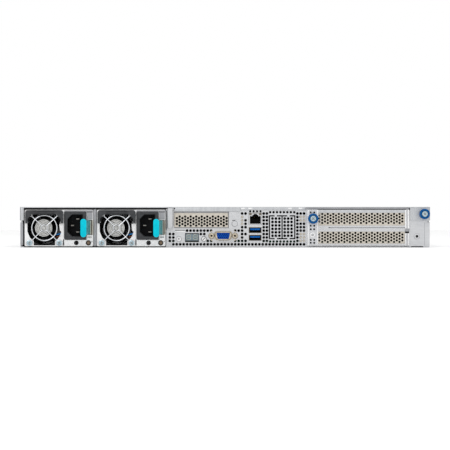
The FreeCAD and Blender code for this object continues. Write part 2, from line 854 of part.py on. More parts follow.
# Power supply pieces, each placed from the left edge of its supply
def supply_case(left):
    """Folded case with chamfered long edges, open round the fan and as far as the duct reaches."""
    low = supply_low
    high = supply_high
    right = left + supply_width
    rear = supply_face_depth
    corners = [(left + supply_chamfer, low), (right - supply_chamfer, low), (right, low + supply_chamfer),
               (right, high - supply_chamfer), (right - supply_chamfer, high), (left + supply_chamfer, high),
               (left, high - supply_chamfer), (left, low + supply_chamfer)]
    shell = prism_xz(corners, rear, supply_depth)
    duct = block(left + supply_wall, right - supply_wall, rear + supply_wall, supply_duct_depth,
                 low + supply_wall, high - supply_wall)
    span = (rear - through, rear + supply_wall + through)
    inlet_gap = inlet_body_inset - run_gap
    inlet_low = low + inlet_up
    window = disc(left + fan_centre_in, fan_centre_z, supply_fan_window, *span, wide_sides)
    inlet_hole = block(left + inlet_in + inlet_gap, left + inlet_in + inlet_width - inlet_gap, *span,
                       inlet_low + inlet_gap, inlet_low + inlet_height - inlet_gap)
    latch_hole = block(left + latch_window_in, left + latch_window_in + latch_window_width, *span,
                       low + latch_window_up, low + latch_window_up + latch_window_height)
    strip_z = low + inlet_up / 2
    strip_hole = disc(left + supply_hole_in, strip_z, supply_hole_radius, *span, small_sides)
    lamp_hole = disc(left + supply_lamp_in, strip_z, supply_lamp_radius, *span, small_sides)
    case = shell.cut([duct, window, inlet_hole, latch_hole, strip_hole, lamp_hole])
    card_left = left + (supply_width - edge_card_width) / 2
    edge_card = block(card_left, card_left + edge_card_width, supply_depth - through,
                      supply_depth + edge_card_length, low + edge_card_up, low + edge_card_up + card_thickness)
    pin = Part.makeCylinder(latch_pin_radius, high - low, Vector(latch_pivot_x(left), at(latch_pivot_depth), low))
    return fuse([case, edge_card, pin] + handle_lugs(left))


def handle_lugs(left):
    """Two lugs on the face with the pins that the handle swings on."""
    handle_left = left + fan_centre_in - handle_width / 2
    handle_right = handle_left + handle_width
    inner_left = handle_left + handle_leg + run_gap
    inner_right = handle_right - handle_leg - run_gap
    pin_length = handle_leg + run_gap - handle_top_gap
    lugs = []
    for lug_x, pin_left in ((inner_left, inner_left - pin_length), (inner_right - handle_lug, inner_right)):
        lugs.append(block(lug_x, lug_x + handle_lug, handle_middle - handle_lug_reach, supply_face_depth,
                          handle_pin_z - handle_lug_half, handle_pin_z + handle_lug_half))
        lugs.append(pin_x(pin_left, pin_left + pin_length, handle_middle, handle_pin_z, pivot_radius, small_sides))
    return lugs


def supply_handle(left):
    """Bail whose inner corners are cut at a slant, seen from the rear."""
    x0 = left + fan_centre_in - handle_width / 2
    x1 = x0 + handle_width
    low = handle_pin_z - handle_depth / 2
    high = supply_high - handle_top_gap
    inner0 = x0 + handle_leg
    inner1 = x1 - handle_leg
    bar_low = high - handle_bar
    outline = [(x0, low), (x0, high - handle_corner), (x0 + handle_corner, high),
               (x1 - handle_corner, high), (x1, high - handle_corner), (x1, low), (inner1, low),
               (inner1, bar_low - handle_throat), (inner1 - handle_throat, bar_low),
               (inner0 + handle_throat, bar_low), (inner0, bar_low - handle_throat), (inner0, low)]
    bail = prism_xz(outline, handle_middle - handle_depth / 2, handle_middle + handle_depth / 2)
    bore = pin_x(x0 - through, x1 + through, handle_middle, handle_pin_z, pivot_radius + pivot_gap, small_sides)
    return bail.cut(bore)


def guard_spoke(x, z, end_x, end_z, rear, front):
    """Wire from the eye of the guard to one corner."""
    length = math.hypot(end_x, end_z)
    along_x = end_x / length
    along_z = end_z / length
    across_x = -along_z * guard_wire / 2
    across_z = along_x * guard_wire / 2
    near_x = x + along_x * guard_eye_radius
    near_z = z + along_z * guard_eye_radius
    far_x = x + end_x
    far_z = z + end_z
    return prism_xz([(near_x + across_x, near_z + across_z), (near_x - across_x, near_z - across_z),
                     (far_x - across_x, far_z - across_z), (far_x + across_x, far_z + across_z)], rear, front)


def supply_guard(left):
    """Wire guard: two rings on four spokes, the lower ones under the fan screws."""
    x = left + fan_centre_in
    z = fan_centre_z
    rear = supply_face_depth - guard_wire
    front = supply_face_depth
    reach = fan_screw_pitch / 2
    parts = []
    for radius, sides in ((guard_ring_radius, wide_sides), (guard_eye_radius, small_sides)):
        ring = disc(x, z, radius + guard_wire / 2, rear, front, sides)
        parts.append(ring.cut(disc(x, z, radius - guard_wire / 2, rear - through, front + through, sides)))
    for side in (-1, 1):
        parts.append(guard_spoke(x, z, side * reach, -reach, rear, front))
        parts.append(guard_spoke(x, z, side * guard_hook_x, guard_hook_z, rear, front))
        parts.append(disc(x + side * reach, z - reach, fan_screw_head, rear - fan_screw_proud, front, small_sides))
    return fuse(parts)


def supply_fan_ends():
    """Depths of the rear and front of a supply's fan."""
    rear = supply_face_depth + supply_wall + fan_seat_gap
    return rear, rear + supply_fan_length


def supply_fan_frame(left):
    """Square frame whose hub mount stands on four struts at its front end."""
    x = left + fan_centre_in
    half = supply_fan_size / 2
    rear, front = supply_fan_ends()
    frame = block(x - half, x + half, rear, front, fan_centre_z - half, fan_centre_z + half)
    frame = frame.cut(disc(x, fan_centre_z, supply_fan_bore, rear - through, front + through, wide_sides))
    parts = [frame, disc(x, fan_centre_z, supply_fan_hub, front - supply_hub_mount, front, small_sides)]
    reach = supply_fan_bore + supply_fan_rim / 2
    for half_x, half_z in ((reach, fan_strut / 2), (fan_strut / 2, reach)):
        parts.append(block(x - half_x, x + half_x, front - fan_strut_depth / 2, front,
                           fan_centre_z - half_z, fan_centre_z + half_z))
    return fuse(parts)


def fan_rotor(x, z, hub_radius, tip_radius, d0, d1):
    """Hub with tilted blades, whose outer corners stay inside the tip circle."""
    middle = (d0 + d1) / 2
    tilt = math.radians(blade_tilt)
    chord = (d1 - d0 - 2 * blade_end_gap) / math.cos(tilt)
    half_rise = (chord * math.sin(tilt) + blade_thickness) / 2
    reach = math.sqrt(tip_radius ** 2 - half_rise ** 2)
    parts = [disc(x, z, hub_radius, d0, d1, small_sides)]
    for index in range(fan_blades):
        slab = Part.makeBox(reach - hub_radius + blade_root, chord, blade_thickness,
                            Vector(hub_radius - blade_root, -chord / 2, -blade_thickness / 2))
        slab.rotate(Vector(0, 0, 0), Vector(1, 0, 0), blade_tilt)
        slab.rotate(Vector(0, 0, 0), Vector(0, 1, 0), 360.0 * index / fan_blades)
        slab.translate(Vector(x, at(middle), z))
        parts.append(slab)
    return fuse(parts)


def supply_rotor(left):
    rear, front = supply_fan_ends()
    return fan_rotor(left + fan_centre_in, fan_centre_z, supply_fan_hub, supply_fan_bore - fan_blade_gap,
                     rear + rotor_rear_gap, front - supply_hub_mount - run_gap)


def supply_inlet(left):
    """Mains inlet on its side, its recess chamfered towards the fan, with three flat blades."""
    x0 = left + inlet_in
    x1 = x0 + inlet_width
    z0 = supply_low + inlet_up
    z1 = z0 + inlet_height
    face = supply_face_depth
    rear = face - inlet_bezel
    floor = rear + socket_depth
    middle_x = (x0 + x1) / 2 - socket_shift
    middle_z = (z0 + z1) / 2
    left_x = middle_x - socket_width / 2
    right_x = middle_x + socket_width / 2
    low = middle_z - socket_height / 2
    high = middle_z + socket_height / 2
    bezel = block(x0, x1, rear, face, z0, z1)
    body = block(x0 + inlet_body_inset, x1 - inlet_body_inset, face - pivot_gap, face + inlet_body_depth,
                 z0 + inlet_body_inset, z1 - inlet_body_inset)
    mouth = prism_xz([(left_x + socket_chamfer, low), (right_x, low), (right_x, high),
                      (left_x + socket_chamfer, high), (left_x, high - socket_chamfer),
                      (left_x, low + socket_chamfer)], rear - through, floor)
    parts = [fuse([bezel, body]).cut(mouth)]
    for dx, dz in ((-earth_offset, 0), (live_offset, live_pitch / 2), (live_offset, -live_pitch / 2)):
        parts.append(block(middle_x + dx - blade_long / 2, middle_x + dx + blade_long / 2, floor - blade_length,
                           floor + through, middle_z + dz - blade_thin / 2, middle_z + dz + blade_thin / 2))
    return fuse(parts)


def latch_pivot_x(left):
    return left + latch_window_in + latch_window_width - latch_boss_radius - latch_pivot_gap


def supply_latch(left):
    """Thumb tab, web and arm, bent as seen from above, swinging on an upright pin."""
    arm_out = left + latch_window_in + latch_window_width - latch_arm_gap
    arm_in = arm_out - latch_arm
    tab_right = left + latch_window_in - latch_tab_gap
    tab_left = tab_right - latch_tab_width
    half_bend = latch_bend / 2
    outer_bend = 2 * latch_bend / 3
    tip = -latch_proud
    web = [(tab_left, tip + outer_bend), (tab_right - half_bend, tip), (tab_right + outer_bend, tip + latch_bend),
           (arm_out, outer_bend), (arm_out, latch_arm_reach), (arm_in, latch_arm_reach), (arm_in, latch_bend),
           (tab_right - outer_bend, tip + latch_plate + latch_bend), (tab_left, tip + latch_plate + outer_bend)]
    tab_low = supply_low + latch_tab_up
    tab_high = tab_low + latch_tab_height
    low = supply_low + latch_window_up + latch_side_gap
    high = supply_low + latch_window_up + latch_window_height - latch_side_gap
    lever = prism_xy(web, tab_low, tab_high)
    trim_left = arm_in - latch_plate
    trim_right = arm_out + latch_plate
    trims = [block(trim_left, trim_right, -latch_bend, latch_arm_reach + through, tab_low - through, low),
             block(trim_left, trim_right, -latch_bend, latch_arm_reach + through, high, tab_high + through)]
    pivot_x = latch_pivot_x(left)
    boss = post(pivot_x, latch_pivot_depth, latch_boss_radius, low, high, small_sides)
    bore = post(pivot_x, latch_pivot_depth, latch_pin_radius + pivot_gap, low - through, high + through, small_sides)
    return fuse([lever.cut(trims), boss]).cut(bore)


def psu_bay_walls():
    """Upright divider with its folded rear bar, and the wall between the supplies and the boards."""
    divider_x = supply_left + supply_width + supply_between / 2
    length = supply_depth + supply_travel_room
    divider = block(divider_x - sheet / 2, divider_x + sheet / 2, sheet / 2, length, sheet, panel_high)
    bar = block(divider_x - divider_bar / 2, divider_x + divider_bar / 2, -divider_proud, sheet,
                sheet + divider_proud, panel_high)
    right = block(panel_left, panel_left + supply_wall, sheet, length, sheet, panel_high)
    foot = block(panel_left, panel_left + bay_wall_foot, sheet, length, sheet, 2 * sheet)
    return Part.makeCompound([fuse([divider, bar]), fuse([right, foot])])


def power_board():
    """Upright board across both bays, with a socket for each supply's edge card."""
    rear = power_board_depth
    parts = [block(supply_left, supply_left + supply_pitch + supply_width - sheet, rear, rear + card_thickness,
                   sheet, supply_high - power_board_drop)]
    card_low = supply_low + edge_card_up
    socket_low = card_low + (card_thickness - power_socket_height) / 2
    for bay in range(2):
        card_left = supply_left + bay * supply_pitch + (supply_width - edge_card_width) / 2
        card_right = card_left + edge_card_width
        socket = block(card_left - power_socket_side, card_right + power_socket_side, rear - power_socket_reach,
                       rear, socket_low, socket_low + power_socket_height)
        way = block(card_left - edge_card_gap, card_right + edge_card_gap, rear - power_socket_reach - through,
                    rear - edge_card_gap, card_low - edge_card_gap, card_low + card_thickness + edge_card_gap)
        parts.append(socket.cut(way))
    return fuse(parts)


# Boards, coolers and memory
def motherboard():
    """Main board, stepped round the power supplies, with the switches behind the two rear buttons."""
    outline = [(board_left, board_rear), (board_half_width, board_rear), (board_half_width, board_front),
               (-board_half_width, board_front), (-board_half_width, board_step), (board_left, board_step)]
    parts = [prism_xy(outline, board_low, board_top)]
    for x in rear_button_x:
        parts.append(block(x - rear_switch_size / 2, x + rear_switch_size / 2, board_rear,
                           board_rear + rear_switch_depth, board_low, board_top + rear_switch_depth))
    return fuse(parts)


def cpu_heatsinks():
    """Finned coolers, each on its processor."""
    coolers = []
    d0 = cpu_depth - cooler_length / 2
    d1 = cpu_depth + cooler_length / 2
    low = board_top + cpu_height
    base_high = low + cooler_base
    for side in (-1, 1):
        x = side * cpu_x
        parts = [block(x - cooler_width / 2, x + cooler_width / 2, d0, d1, low, base_high),
                 block(x - cpu_size / 2, x + cpu_size / 2, cpu_depth - cpu_length / 2, cpu_depth + cpu_length / 2,
                       board_top, low)]
        fin_pitch = (cooler_width - fin_thickness) / (cooler_fins - 1)
        for offset in centred(cooler_fins, fin_pitch):
            parts.append(block(x + offset - fin_thickness / 2, x + offset + fin_thickness / 2, d0, d1,
                               base_high - sheet, low + cooler_height))
        coolers.append(fuse(parts))
    return Part.makeCompound(coolers)


def memory_places():
    places = []
    for side in (-1, 1):
        for bank in (-1, 1):
            for index in range(memory_per_side):
                places.append(side * cpu_x + bank * (memory_first + index * memory_pitch))
    return places


def dimm_sockets():
    sockets = []
    high = board_top + memory_socket_height
    half = module_thickness / 2 + module_slot_gap
    slot_reach = module_length / 2 + module_slot_gap
    for x in memory_places():
        body = block(x - memory_socket_width / 2, x + memory_socket_width / 2, cpu_depth - socket_length / 2,
                     cpu_depth + socket_length / 2, board_top, high)
        slot = block(x - half, x + half, cpu_depth - slot_reach, cpu_depth + slot_reach,
                     board_top + memory_socket_floor, high + through)
        sockets.append(body.cut(slot))
    return Part.makeCompound(sockets)


def dimm_modules():
    modules = []
    for x in memory_places():
        modules.append(block(x - module_thickness / 2, x + module_thickness / 2, cpu_depth - module_length / 2,
                             cpu_depth + module_length / 2, module_low, module_low + module_height))
    return Part.makeCompound(modules)


def air_shroud():
    """Moulded hood over the processors and the memory, open at both ends."""
    inner = shroud_half_width - shroud_wall
    inner_high = shroud_high - shroud_wall
    outline = [(-shroud_half_width, board_top), (-shroud_half_width, shroud_high),
               (shroud_half_width, shroud_high), (shroud_half_width, board_top),
               (inner, board_top), (inner, inner_high), (-inner, inner_high), (-inner, board_top)]
    return prism_xz(outline, shroud_rear, shroud_front)


# System fans
def fan_places():
    return centred(fan_count, fan_pitch)


def fan_bracket():
    """Shallow channel that the row of fans stands in."""
    half = board_half_width + channel_gap
    d0 = fan_depth - channel_gap
    d1 = fan_depth + fan_length + channel_gap
    parts = [block(-half, half, d0, d1, sheet, 2 * sheet)]
    for lip_rear in (d0, d1 - sheet):
        parts.append(block(-half, half, lip_rear, lip_rear + sheet, sheet, channel_lip))
    return fuse(parts)


def fan_frames():
    frames = []
    half = fan_size / 2
    middle = fan_depth + fan_length / 2
    reach = (half + fan_bore) / 2
    for x in fan_places():
        frame = block(x - half, x + half, fan_depth, fan_depth + fan_length, fan_row_z - half, fan_row_z + half)
        frame = frame.cut(disc(x, fan_row_z, fan_bore, fan_depth - through, fan_depth + fan_length + through,
                               middle_sides))
        strut = block(x - reach, x + reach, middle - fan_strut_depth / 2, middle + fan_strut_depth / 2,
                      fan_row_z - fan_strut / 2, fan_row_z + fan_strut / 2)
        frames.append(fuse([frame, strut]))
    return Part.makeCompound(frames)


def system_rotor(index):
    front = fan_depth + (fan_length - fan_strut_depth) / 2 - run_gap
    return fan_rotor(fan_places()[index], fan_row_z, fan_hub, fan_bore - fan_blade_gap,
                     front - fan_rotor_length, front)


# Drive bays at the front
def bay_places():
    return centred(bay_count, bay_pitch)


def drive_cage():
    """Shelf and walls round the drives, with the slotted bar above them that holds the buttons."""
    half = upper_wall_x - sheet - run_gap
    front = body_depth - cage_front_bar
    parts = [block(-half, half, bay_rear, front, bay_shelf_z, bay_shelf_z + sheet)]
    for x in centred(bay_count + 1, bay_pitch):
        parts.append(block(x - sheet / 2, x + sheet / 2, bay_rear, front, sheet, bay_shelf_z + sheet / 2))
    bar = block(-half, half, front, body_depth, bay_shelf_z, wall_top)
    span = (front - through, body_depth + through)
    cuts = []
    for place in centred(grille_slots, 2 * (half - grille_end_room) / grille_slots):
        x = place - grille_shift
        cuts.append(block(x - grille_slot_width / 2, x + grille_slot_width / 2, *span,
                          grille_z - grille_slot_height / 2, grille_z + grille_slot_height / 2))
    for x in front_button_x:
        cuts.append(disc(x, grille_z, front_button_radius + run_gap, *span, middle_sides))
    return fuse(parts + [bar.cut(cuts)])


def drive_backplane():
    """Upright board behind the drives, with a plug and an air slot for each."""
    front = bay_rear - run_gap
    rear = front - card_thickness
    plug_low = tray_low + backplane_plug_up
    vent_high = bay_shelf_z - backplane_vent_drop
    parts = [block(-board_half_width, board_half_width, rear, front, sheet, wall_top - backplane_drop)]
    vents = []
    for x in bay_places():
        parts.append(block(x - backplane_plug_left, x + backplane_plug_right, rear, front + backplane_plug_height,
                           plug_low, plug_low + backplane_plug_height))
        vents.append(block(x - backplane_vent / 2, x + backplane_vent / 2, rear - through, front + through,
                           vent_high - backplane_vent_height, vent_high))
    return fuse(parts).cut(vents)


def drive_tray(index):
    """Tray with two rails and a strap, behind a hollow face that is recessed for its lever."""
    x = bay_places()[index]
    half = tray_width / 2
    high = tray_low + tray_face_height
    middle_z = (tray_low + high) / 2
    face_rear = body_depth - tray_face_depth
    rear = body_depth - tray_length
    strap_rear = rear + tray_strap_in
    parts = [block(x - half, x + half, face_rear, body_depth, tray_low, high),
             block(x - half, x + half, strap_rear, strap_rear + tray_strap, tray_low, tray_low + tray_rail)]
    for rail_left in (x - half, x + half - tray_rail):
        parts.append(block(rail_left, rail_left + tray_rail, rear, face_rear + tray_rail, tray_low,
                           tray_low + tray_rail_height))
    hollow = block(x - half + tray_face_wall, x + half - tray_face_wall, face_rear - through,
                   body_depth - lever_thickness - tray_back_wall, tray_low + tray_rail, high - tray_rail)
    pivot_x = x - half + lever_inset
    reach = lever_height / 2 + run_gap
    recess = block(pivot_x - lever_thickness / 2 - run_gap, pivot_x + lever_length + run_gap,
                   body_depth - lever_thickness - 2 * run_gap, body_depth + through,
                   middle_z - reach, middle_z + reach)
    return fuse(parts).cut([hollow, recess])


def tray_lever(index):
    """Lever that turns on its round upright root and has a finger grip cut behind its end."""
    pivot_x = bay_places()[index] - tray_width / 2 + lever_inset
    half = lever_thickness / 2
    middle = body_depth - run_gap - half
    low = tray_low + (tray_face_height - lever_height) / 2
    arm = block(pivot_x, pivot_x + lever_length, middle - half, middle + half, low, low + lever_height)
    root = Part.makeCylinder(half, lever_height, Vector(pivot_x, at(middle), low))
    grip_right = pivot_x + lever_length - lever_grip_end
    grip = block(grip_right - lever_grip, grip_right, middle - half - through, middle - half + lever_grip_depth,
                 low + lever_grip_side, low + lever_height - lever_grip_side)
    return fuse([arm, root]).cut(grip)


def front_button(index):
    front = body_depth + front_button_proud
    return disc(front_button_x[index], grille_z, front_button_radius, front - front_button_length, front,
                middle_sides)


def rack_ears():
    """Two folded ears with a slotted hole at each standard height."""
    low = (body_height - ear_height) / 2
    high = low + ear_height
    rear = body_depth - ear_thickness
    ears = []
    for side in (-1, 1):
        inner = side * half_width
        outer = side * (half_width + ear_reach)
        fold = side * (half_width + ear_thickness)
        plate = block(min(inner, outer), max(inner, outer), rear, body_depth, low, high)
        flange = block(min(inner, fold), max(inner, fold), body_depth - ear_flange_length, body_depth, low, high)
        slots = []
        for rise in (-rack_hole_rise / 2, rack_hole_rise / 2):
            slots.append(stadium(outer - side * rack_hole_edge, body_height / 2 + rise, rack_slot_length,
                                 rack_slot_width, rear - through, body_depth + through))
        ears.append(fuse([plate, flange]).cut(slots))
    return Part.makeCompound(ears)


def save(name, shape):
    shape.exportStep(os.path.join("parts", name + ".step"))
    print(name, len(shape.Solids), round(shape.Volume / 1000, 2))


def build():
    os.makedirs("parts", exist_ok=True)
    single = (chassis_base, top_cover, front_cover, rear_panel, full_height_slot_covers, low_profile_slot_cover,
              slot_retainer, riser_cage, riser_card, vga_port, lan_port, usb_ports, status_display, psu_bay_walls,
              power_board, motherboard, cpu_heatsinks, dimm_sockets, dimm_modules, air_shroud, fan_bracket,
              fan_frames, drive_cage, drive_backplane, rack_ears)
    for piece in single:
        save(piece.__name__, piece())
    save("thumbscrew_cover", thumbscrew(cover_knob_x, cover_knob_z, cover_rear))
    save("thumbscrew_riser", thumbscrew(riser_knob_x, riser_knob_z, bracket_rear))
    supply_pieces = {"case": supply_case, "inlet": supply_inlet, "fan_frame": supply_fan_frame,
                     "rotor": supply_rotor, "guard": supply_guard, "latch": supply_latch, "handle": supply_handle}
    for bay in range(2):
        for piece, make in supply_pieces.items():
            save(f"psu_{bay + 1}_{piece}", make(supply_left + bay * supply_pitch))
    for index in range(fan_count):
        save(f"fan_rotor_{index + 1}", system_rotor(index))
    for index in range(bay_count):
        save(f"drive_tray_{index + 1}", drive_tray(index))
        save(f"tray_lever_{index + 1}", tray_lever(index))
    for index, name in enumerate(("identify_button_rear", "reset_button_rear")):
        save(name, rear_button(index))
    for index, name in enumerate(("power_button_front", "identify_button_front")):
        save(name, front_button(index))


build()
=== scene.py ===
import math
import bpy
import bmesh
from mathutils import Matrix, Vector


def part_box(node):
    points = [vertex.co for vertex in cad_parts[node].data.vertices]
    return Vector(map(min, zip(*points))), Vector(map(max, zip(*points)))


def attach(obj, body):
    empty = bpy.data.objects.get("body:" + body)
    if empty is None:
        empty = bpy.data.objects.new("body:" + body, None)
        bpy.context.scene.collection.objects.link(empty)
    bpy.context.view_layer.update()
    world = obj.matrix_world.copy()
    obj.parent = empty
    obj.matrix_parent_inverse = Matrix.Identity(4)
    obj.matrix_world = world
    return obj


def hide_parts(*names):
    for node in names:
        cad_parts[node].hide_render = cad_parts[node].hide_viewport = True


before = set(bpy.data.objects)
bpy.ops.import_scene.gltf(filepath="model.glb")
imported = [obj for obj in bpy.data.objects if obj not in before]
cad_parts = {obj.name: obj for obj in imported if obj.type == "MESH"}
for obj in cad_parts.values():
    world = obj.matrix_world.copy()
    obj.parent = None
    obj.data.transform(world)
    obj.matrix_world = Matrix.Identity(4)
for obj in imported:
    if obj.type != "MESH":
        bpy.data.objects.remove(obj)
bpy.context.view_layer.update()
mm = 0.001
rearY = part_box("rear_panel")[0].y  # depths below are counted in from the rear face, in millimetres


# Box of a CAD node in millimetres: X from and to, depth from and to, Z from and to
def boxMm(node):
    low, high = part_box(node)
    return (low.x / mm, high.x / mm, (low.y - rearY) / mm, (high.y - rearY) / mm, low.z / mm, high.z / mm)


# X and Z of the middle of a CAD node
def middleOf(node):
    box = boxMm(node)
    return (box[0] + box[1]) / 2, (box[4] + box[5]) / 2


# Colour of a hex value, from sRGB to linear
def colour(code):
    parts = [int(code[i:i + 2], 16) / 255 for i in (1, 3, 5)]
    linear = [c / 12.92 if c <= 0.04045 else ((c + 0.055) / 1.055) ** 2.4 for c in parts]
    return (*linear, 1.0)


# One shader node with its settings and links: each input is a value or another node's socket
def addNode(tree, kind, inputs):
    node = tree.nodes.new("ShaderNode" + kind)
    for key, value in inputs.items():
        if isinstance(value, bpy.types.NodeSocket):
            tree.links.new(value, node.inputs[key])
        else:
            node.inputs[key].default_value = value
    return node


# Finish of a surface: two colours mixed by a noise, its roughness range, and a fine bump
def makeMaterial(name, light, dark, patchMm, roughness, metallic, bumpMm, bump, stretch=(1, 1, 1), coat=0.0):
    material = bpy.data.materials.new(name)
    material.use_nodes = True
    tree = material.node_tree
    shader = tree.nodes["Principled BSDF"]
    place = addNode(tree, "TexCoord", {})
    turned = addNode(tree, "Mapping", {"Vector": place.outputs["Object"], "Scale": stretch})
    patches = addNode(tree, "TexNoise", {"Vector": turned.outputs[0], "Scale": 1 / (patchMm * mm),
                                         "Detail": 3.0, "Roughness": 0.55})
    shade = addNode(tree, "ValToRGB", {"Fac": patches.outputs[0]})
    for stop, position, code in zip(shade.color_ramp.elements, (0.35, 0.65), (dark, light)):
        stop.position = position
        stop.color = colour(code)
    tree.links.new(shade.outputs[0], shader.inputs["Base Color"])
    gloss = addNode(tree, "MapRange", {"Value": patches.outputs[0], "From Min": 0.3, "From Max": 0.7,
                                       "To Min": roughness[0], "To Max": roughness[1]})
    tree.links.new(gloss.outputs[0], shader.inputs["Roughness"])
    grain = addNode(tree, "TexNoise", {"Vector": turned.outputs[0], "Scale": 1 / (bumpMm * mm),
                                       "Detail": 2.0})
    relief = addNode(tree, "Bump", {"Height": grain.outputs[0], "Strength": bump, "Distance": 0.1 * mm})
    tree.links.new(relief.outputs[0], shader.inputs["Normal"])
    shader.inputs["Metallic"].default_value = metallic
    if metallic == 0:
        shader.inputs["Specular IOR Level"].default_value = 0.1
    shader.inputs["Coat Weight"].default_value = coat
    return material


# Name, light and dark colour, size of the patches in mm, roughness, metallic, bump in mm and its strength,
# then the stretch of the pattern and a clear coat where there is one
finishes = {
    # Zinc-plated rolled steel: pale grey, half matt, with faint rolling lines along the sheet
    "zincSteel": ("zincPlatedSteel", "#CECFD1", "#C6C7C9", 9, (0.38, 0.52), 0.75, 2.5, 0.12, (1, 1, 5)),
    # The same sheet on the cover, rolled along the depth; also painted shade on the band above the riser's
    # upper slot cover
    "coverSteel": ("rolledCoverSteel", "#C6C8CA", "#BABCBF", 14, (0.34, 0.48), 0.85, 3, 0.1, (6, 1, 1)),
    # Brighter sheet of the supply cases and the rear buttons; also a painted highlight on the folds of the
    # bent riser bracket, on a pressed lance and on the pips of the lid's flange
    "brightSteel": ("brightZincSteel", "#EDEDED", "#E2E2E3", 6, (0.4, 0.55), 0.55, 1.5, 0.08),
    # Painted shade: a darker copy of the zinc sheet for sheet edges, folds and bands that stand in shade
    "shadedSteel": ("dullZincSteel", "#A6A7AA", "#9A9B9E", 8, (0.45, 0.6), 0.75, 2, 0.1),
    # Nickel-plated slot covers: warm, a little beige
    "nickelSteel": ("nickelPlatedSteel", "#CFC9BE", "#C4BDB1", 5, (0.35, 0.5), 0.6, 1.5, 0.08),
    # Bright drawn wire and screw heads
    "chromeWire": ("brightDrawnWire", "#E6E8EB", "#D2D5DA", 3, (0.16, 0.28), 1.0, 0.8, 0.05),
    # Blue passivated screw heads
    "blueZinc": ("bluePassivatedZinc", "#B4C8D0", "#9DB3BE", 2, (0.2, 0.35), 0.9, 0.8, 0.05),
    # Shells of the sockets: nickel over brass, warm; tinned steel, dull; and a darker nickel in painted shade
    # for pins and screw recesses deep in shade
    "portMetal": ("nickelPlatedBrass", "#D2C9B8", "#B4AA98", 3, (0.25, 0.38), 0.9, 1, 0.06),
    "shellSteel": ("tinnedSocketShell", "#7A7266", "#696257", 3, (0.35, 0.5), 0.8, 1, 0.06),
    "shadedPin": ("dullNickelPin", "#8E8B86", "#7F7C77", 2, (0.4, 0.55), 0.8, 0.8, 0.05),
    # Moulded polycarbonate blends, finely eroded so that they look satin
    "blackPlastic": ("blackMouldedPlastic", "#202123", "#17181A", 2, (0.42, 0.6), 0.0, 0.7, 0.25),
    "darkPlastic": ("darkGreyMouldedPlastic", "#47484A", "#3D3E40", 3, (0.5, 0.68), 0.0, 0.7, 0.3),
    "fanGrey": ("greyFanPlastic", "#DCDCD9", "#CBCBC8", 4, (0.3, 0.45), 0.0, 1, 0.1),
    "fanBlack": ("blackGlassFilledPlastic", "#2A2A2B", "#1E1E1F", 3, (0.4, 0.6), 0.0, 0.7, 0.3),
    "cyanPlastic": ("turquoiseMouldedPlastic", "#00CADD", "#00BDD2", 4, (0.3, 0.42), 0.0, 1, 0.1),
    # Painted shade: a darker copy of the turquoise for the latch's web, which stands in shade
    "tealPlastic": ("shadedTurquoisePlastic", "#4A959B", "#3F868C", 4, (0.35, 0.5), 0.0, 1, 0.1),
    "bluePlastic": ("blueMouldedPlastic", "#045492", "#03487F", 3, (0.35, 0.5), 0.0, 0.8, 0.15),
    "portBlue": ("blueConnectorPlastic", "#0062B8", "#0055A4", 2, (0.4, 0.55), 0.0, 0.6, 0.1),
    "videoBlue": ("deepBlueConnectorPlastic", "#0048A6", "#003C92", 2, (0.45, 0.6), 0.0, 0.6, 0.1),
    "palePlastic": ("naturalNylon", "#D8D4C8", "#C9C5B8", 3, (0.4, 0.55), 0.0, 0.8, 0.1),
    # Display and lamp: tinted clear acrylic under a gloss, and unlit segments
    "windowPlastic": ("tintedAcrylic", "#73848F", "#6A7B86", 4, (0.08, 0.16), 0.0, 2, 0.02, (1, 1, 1), 0.4),
    "segmentPlastic": ("unlitDisplaySegment", "#A2A8A2", "#989E98", 2, (0.4, 0.5), 0.0, 0.5, 0.05),
    "lampPlastic": ("smokedLampLens", "#7C6A58", "#6B5A4A", 1, (0.12, 0.2), 0.0, 0.5, 0.05, (1, 1, 1), 0.3),
    # Glass-fibre laminate under green lacquer
    "laminate": ("greenBoardLaminate", "#17482F", "#113A25", 6, (0.3, 0.42), 0.0, 1, 0.15),
    "chipPlastic": ("epoxyChipBody", "#26272A", "#1D1E20", 2, (0.45, 0.6), 0.0, 0.4, 0.2),
    "goldContact": ("goldPlatedContact", "#E2B65A", "#D0A146", 2, (0.2, 0.3), 1.0, 0.5, 0.03),
    # Extruded and skived aluminium
    "aluminium": ("extrudedAluminium", "#D5D7DA", "#C4C7CB", 6, (0.28, 0.4), 1.0, 1, 0.08, (1, 6, 1)),
    # Powder-coated ears, slightly orange-peeled
    "paintedSteel": ("blackPowderCoat", "#2C2D2F", "#242527", 4, (0.45, 0.6), 0.0, 1.2, 0.35),
    # Sleeves of the fan's leads
    "blueWire": ("blueCableSleeve", "#1F86D2", "#186FB2", 2, (0.35, 0.5), 0.0, 0.6, 0.05),
    "brownWire": ("brownCableSleeve", "#7A4631", "#673A28", 2, (0.35, 0.5), 0.0, 0.6, 0.05),
    # Painted shadow: flat black for gaps, hollows and undersides in deep shadow, also used for a few small
    # black parts
    "deepBlack": ("shadowedPlastic", "#101011", "#0B0B0C", 3, (0.6, 0.8), 0.0, 1, 0.1),
}
finish = {key: makeMaterial(*values) for key, values in finishes.items()}
print("finishes ready")


# Puts a finished part into the piece's mesh, with its place in the list of materials
def merge(bm, part, paint=0):
    bmesh.ops.recalc_face_normals(part, faces=part.faces[:])
    for face in part.faces:
        face.material_index = paint
    mesh = bpy.data.meshes.new("part")
    part.to_mesh(mesh)
    part.free()
    bm.from_mesh(mesh)
    bpy.data.meshes.remove(mesh)


def roundEdges(part, size, steps, edges=None):
    bmesh.ops.bevel(part, geom=edges or part.edges[:], offset=size, offset_type="OFFSET", segments=steps,
                    profile=0.5, affect="EDGES", clamp_overlap=True, material=-1)


# From and to of a width about its middle
def span(middle, half):
    return middle - half, middle + half


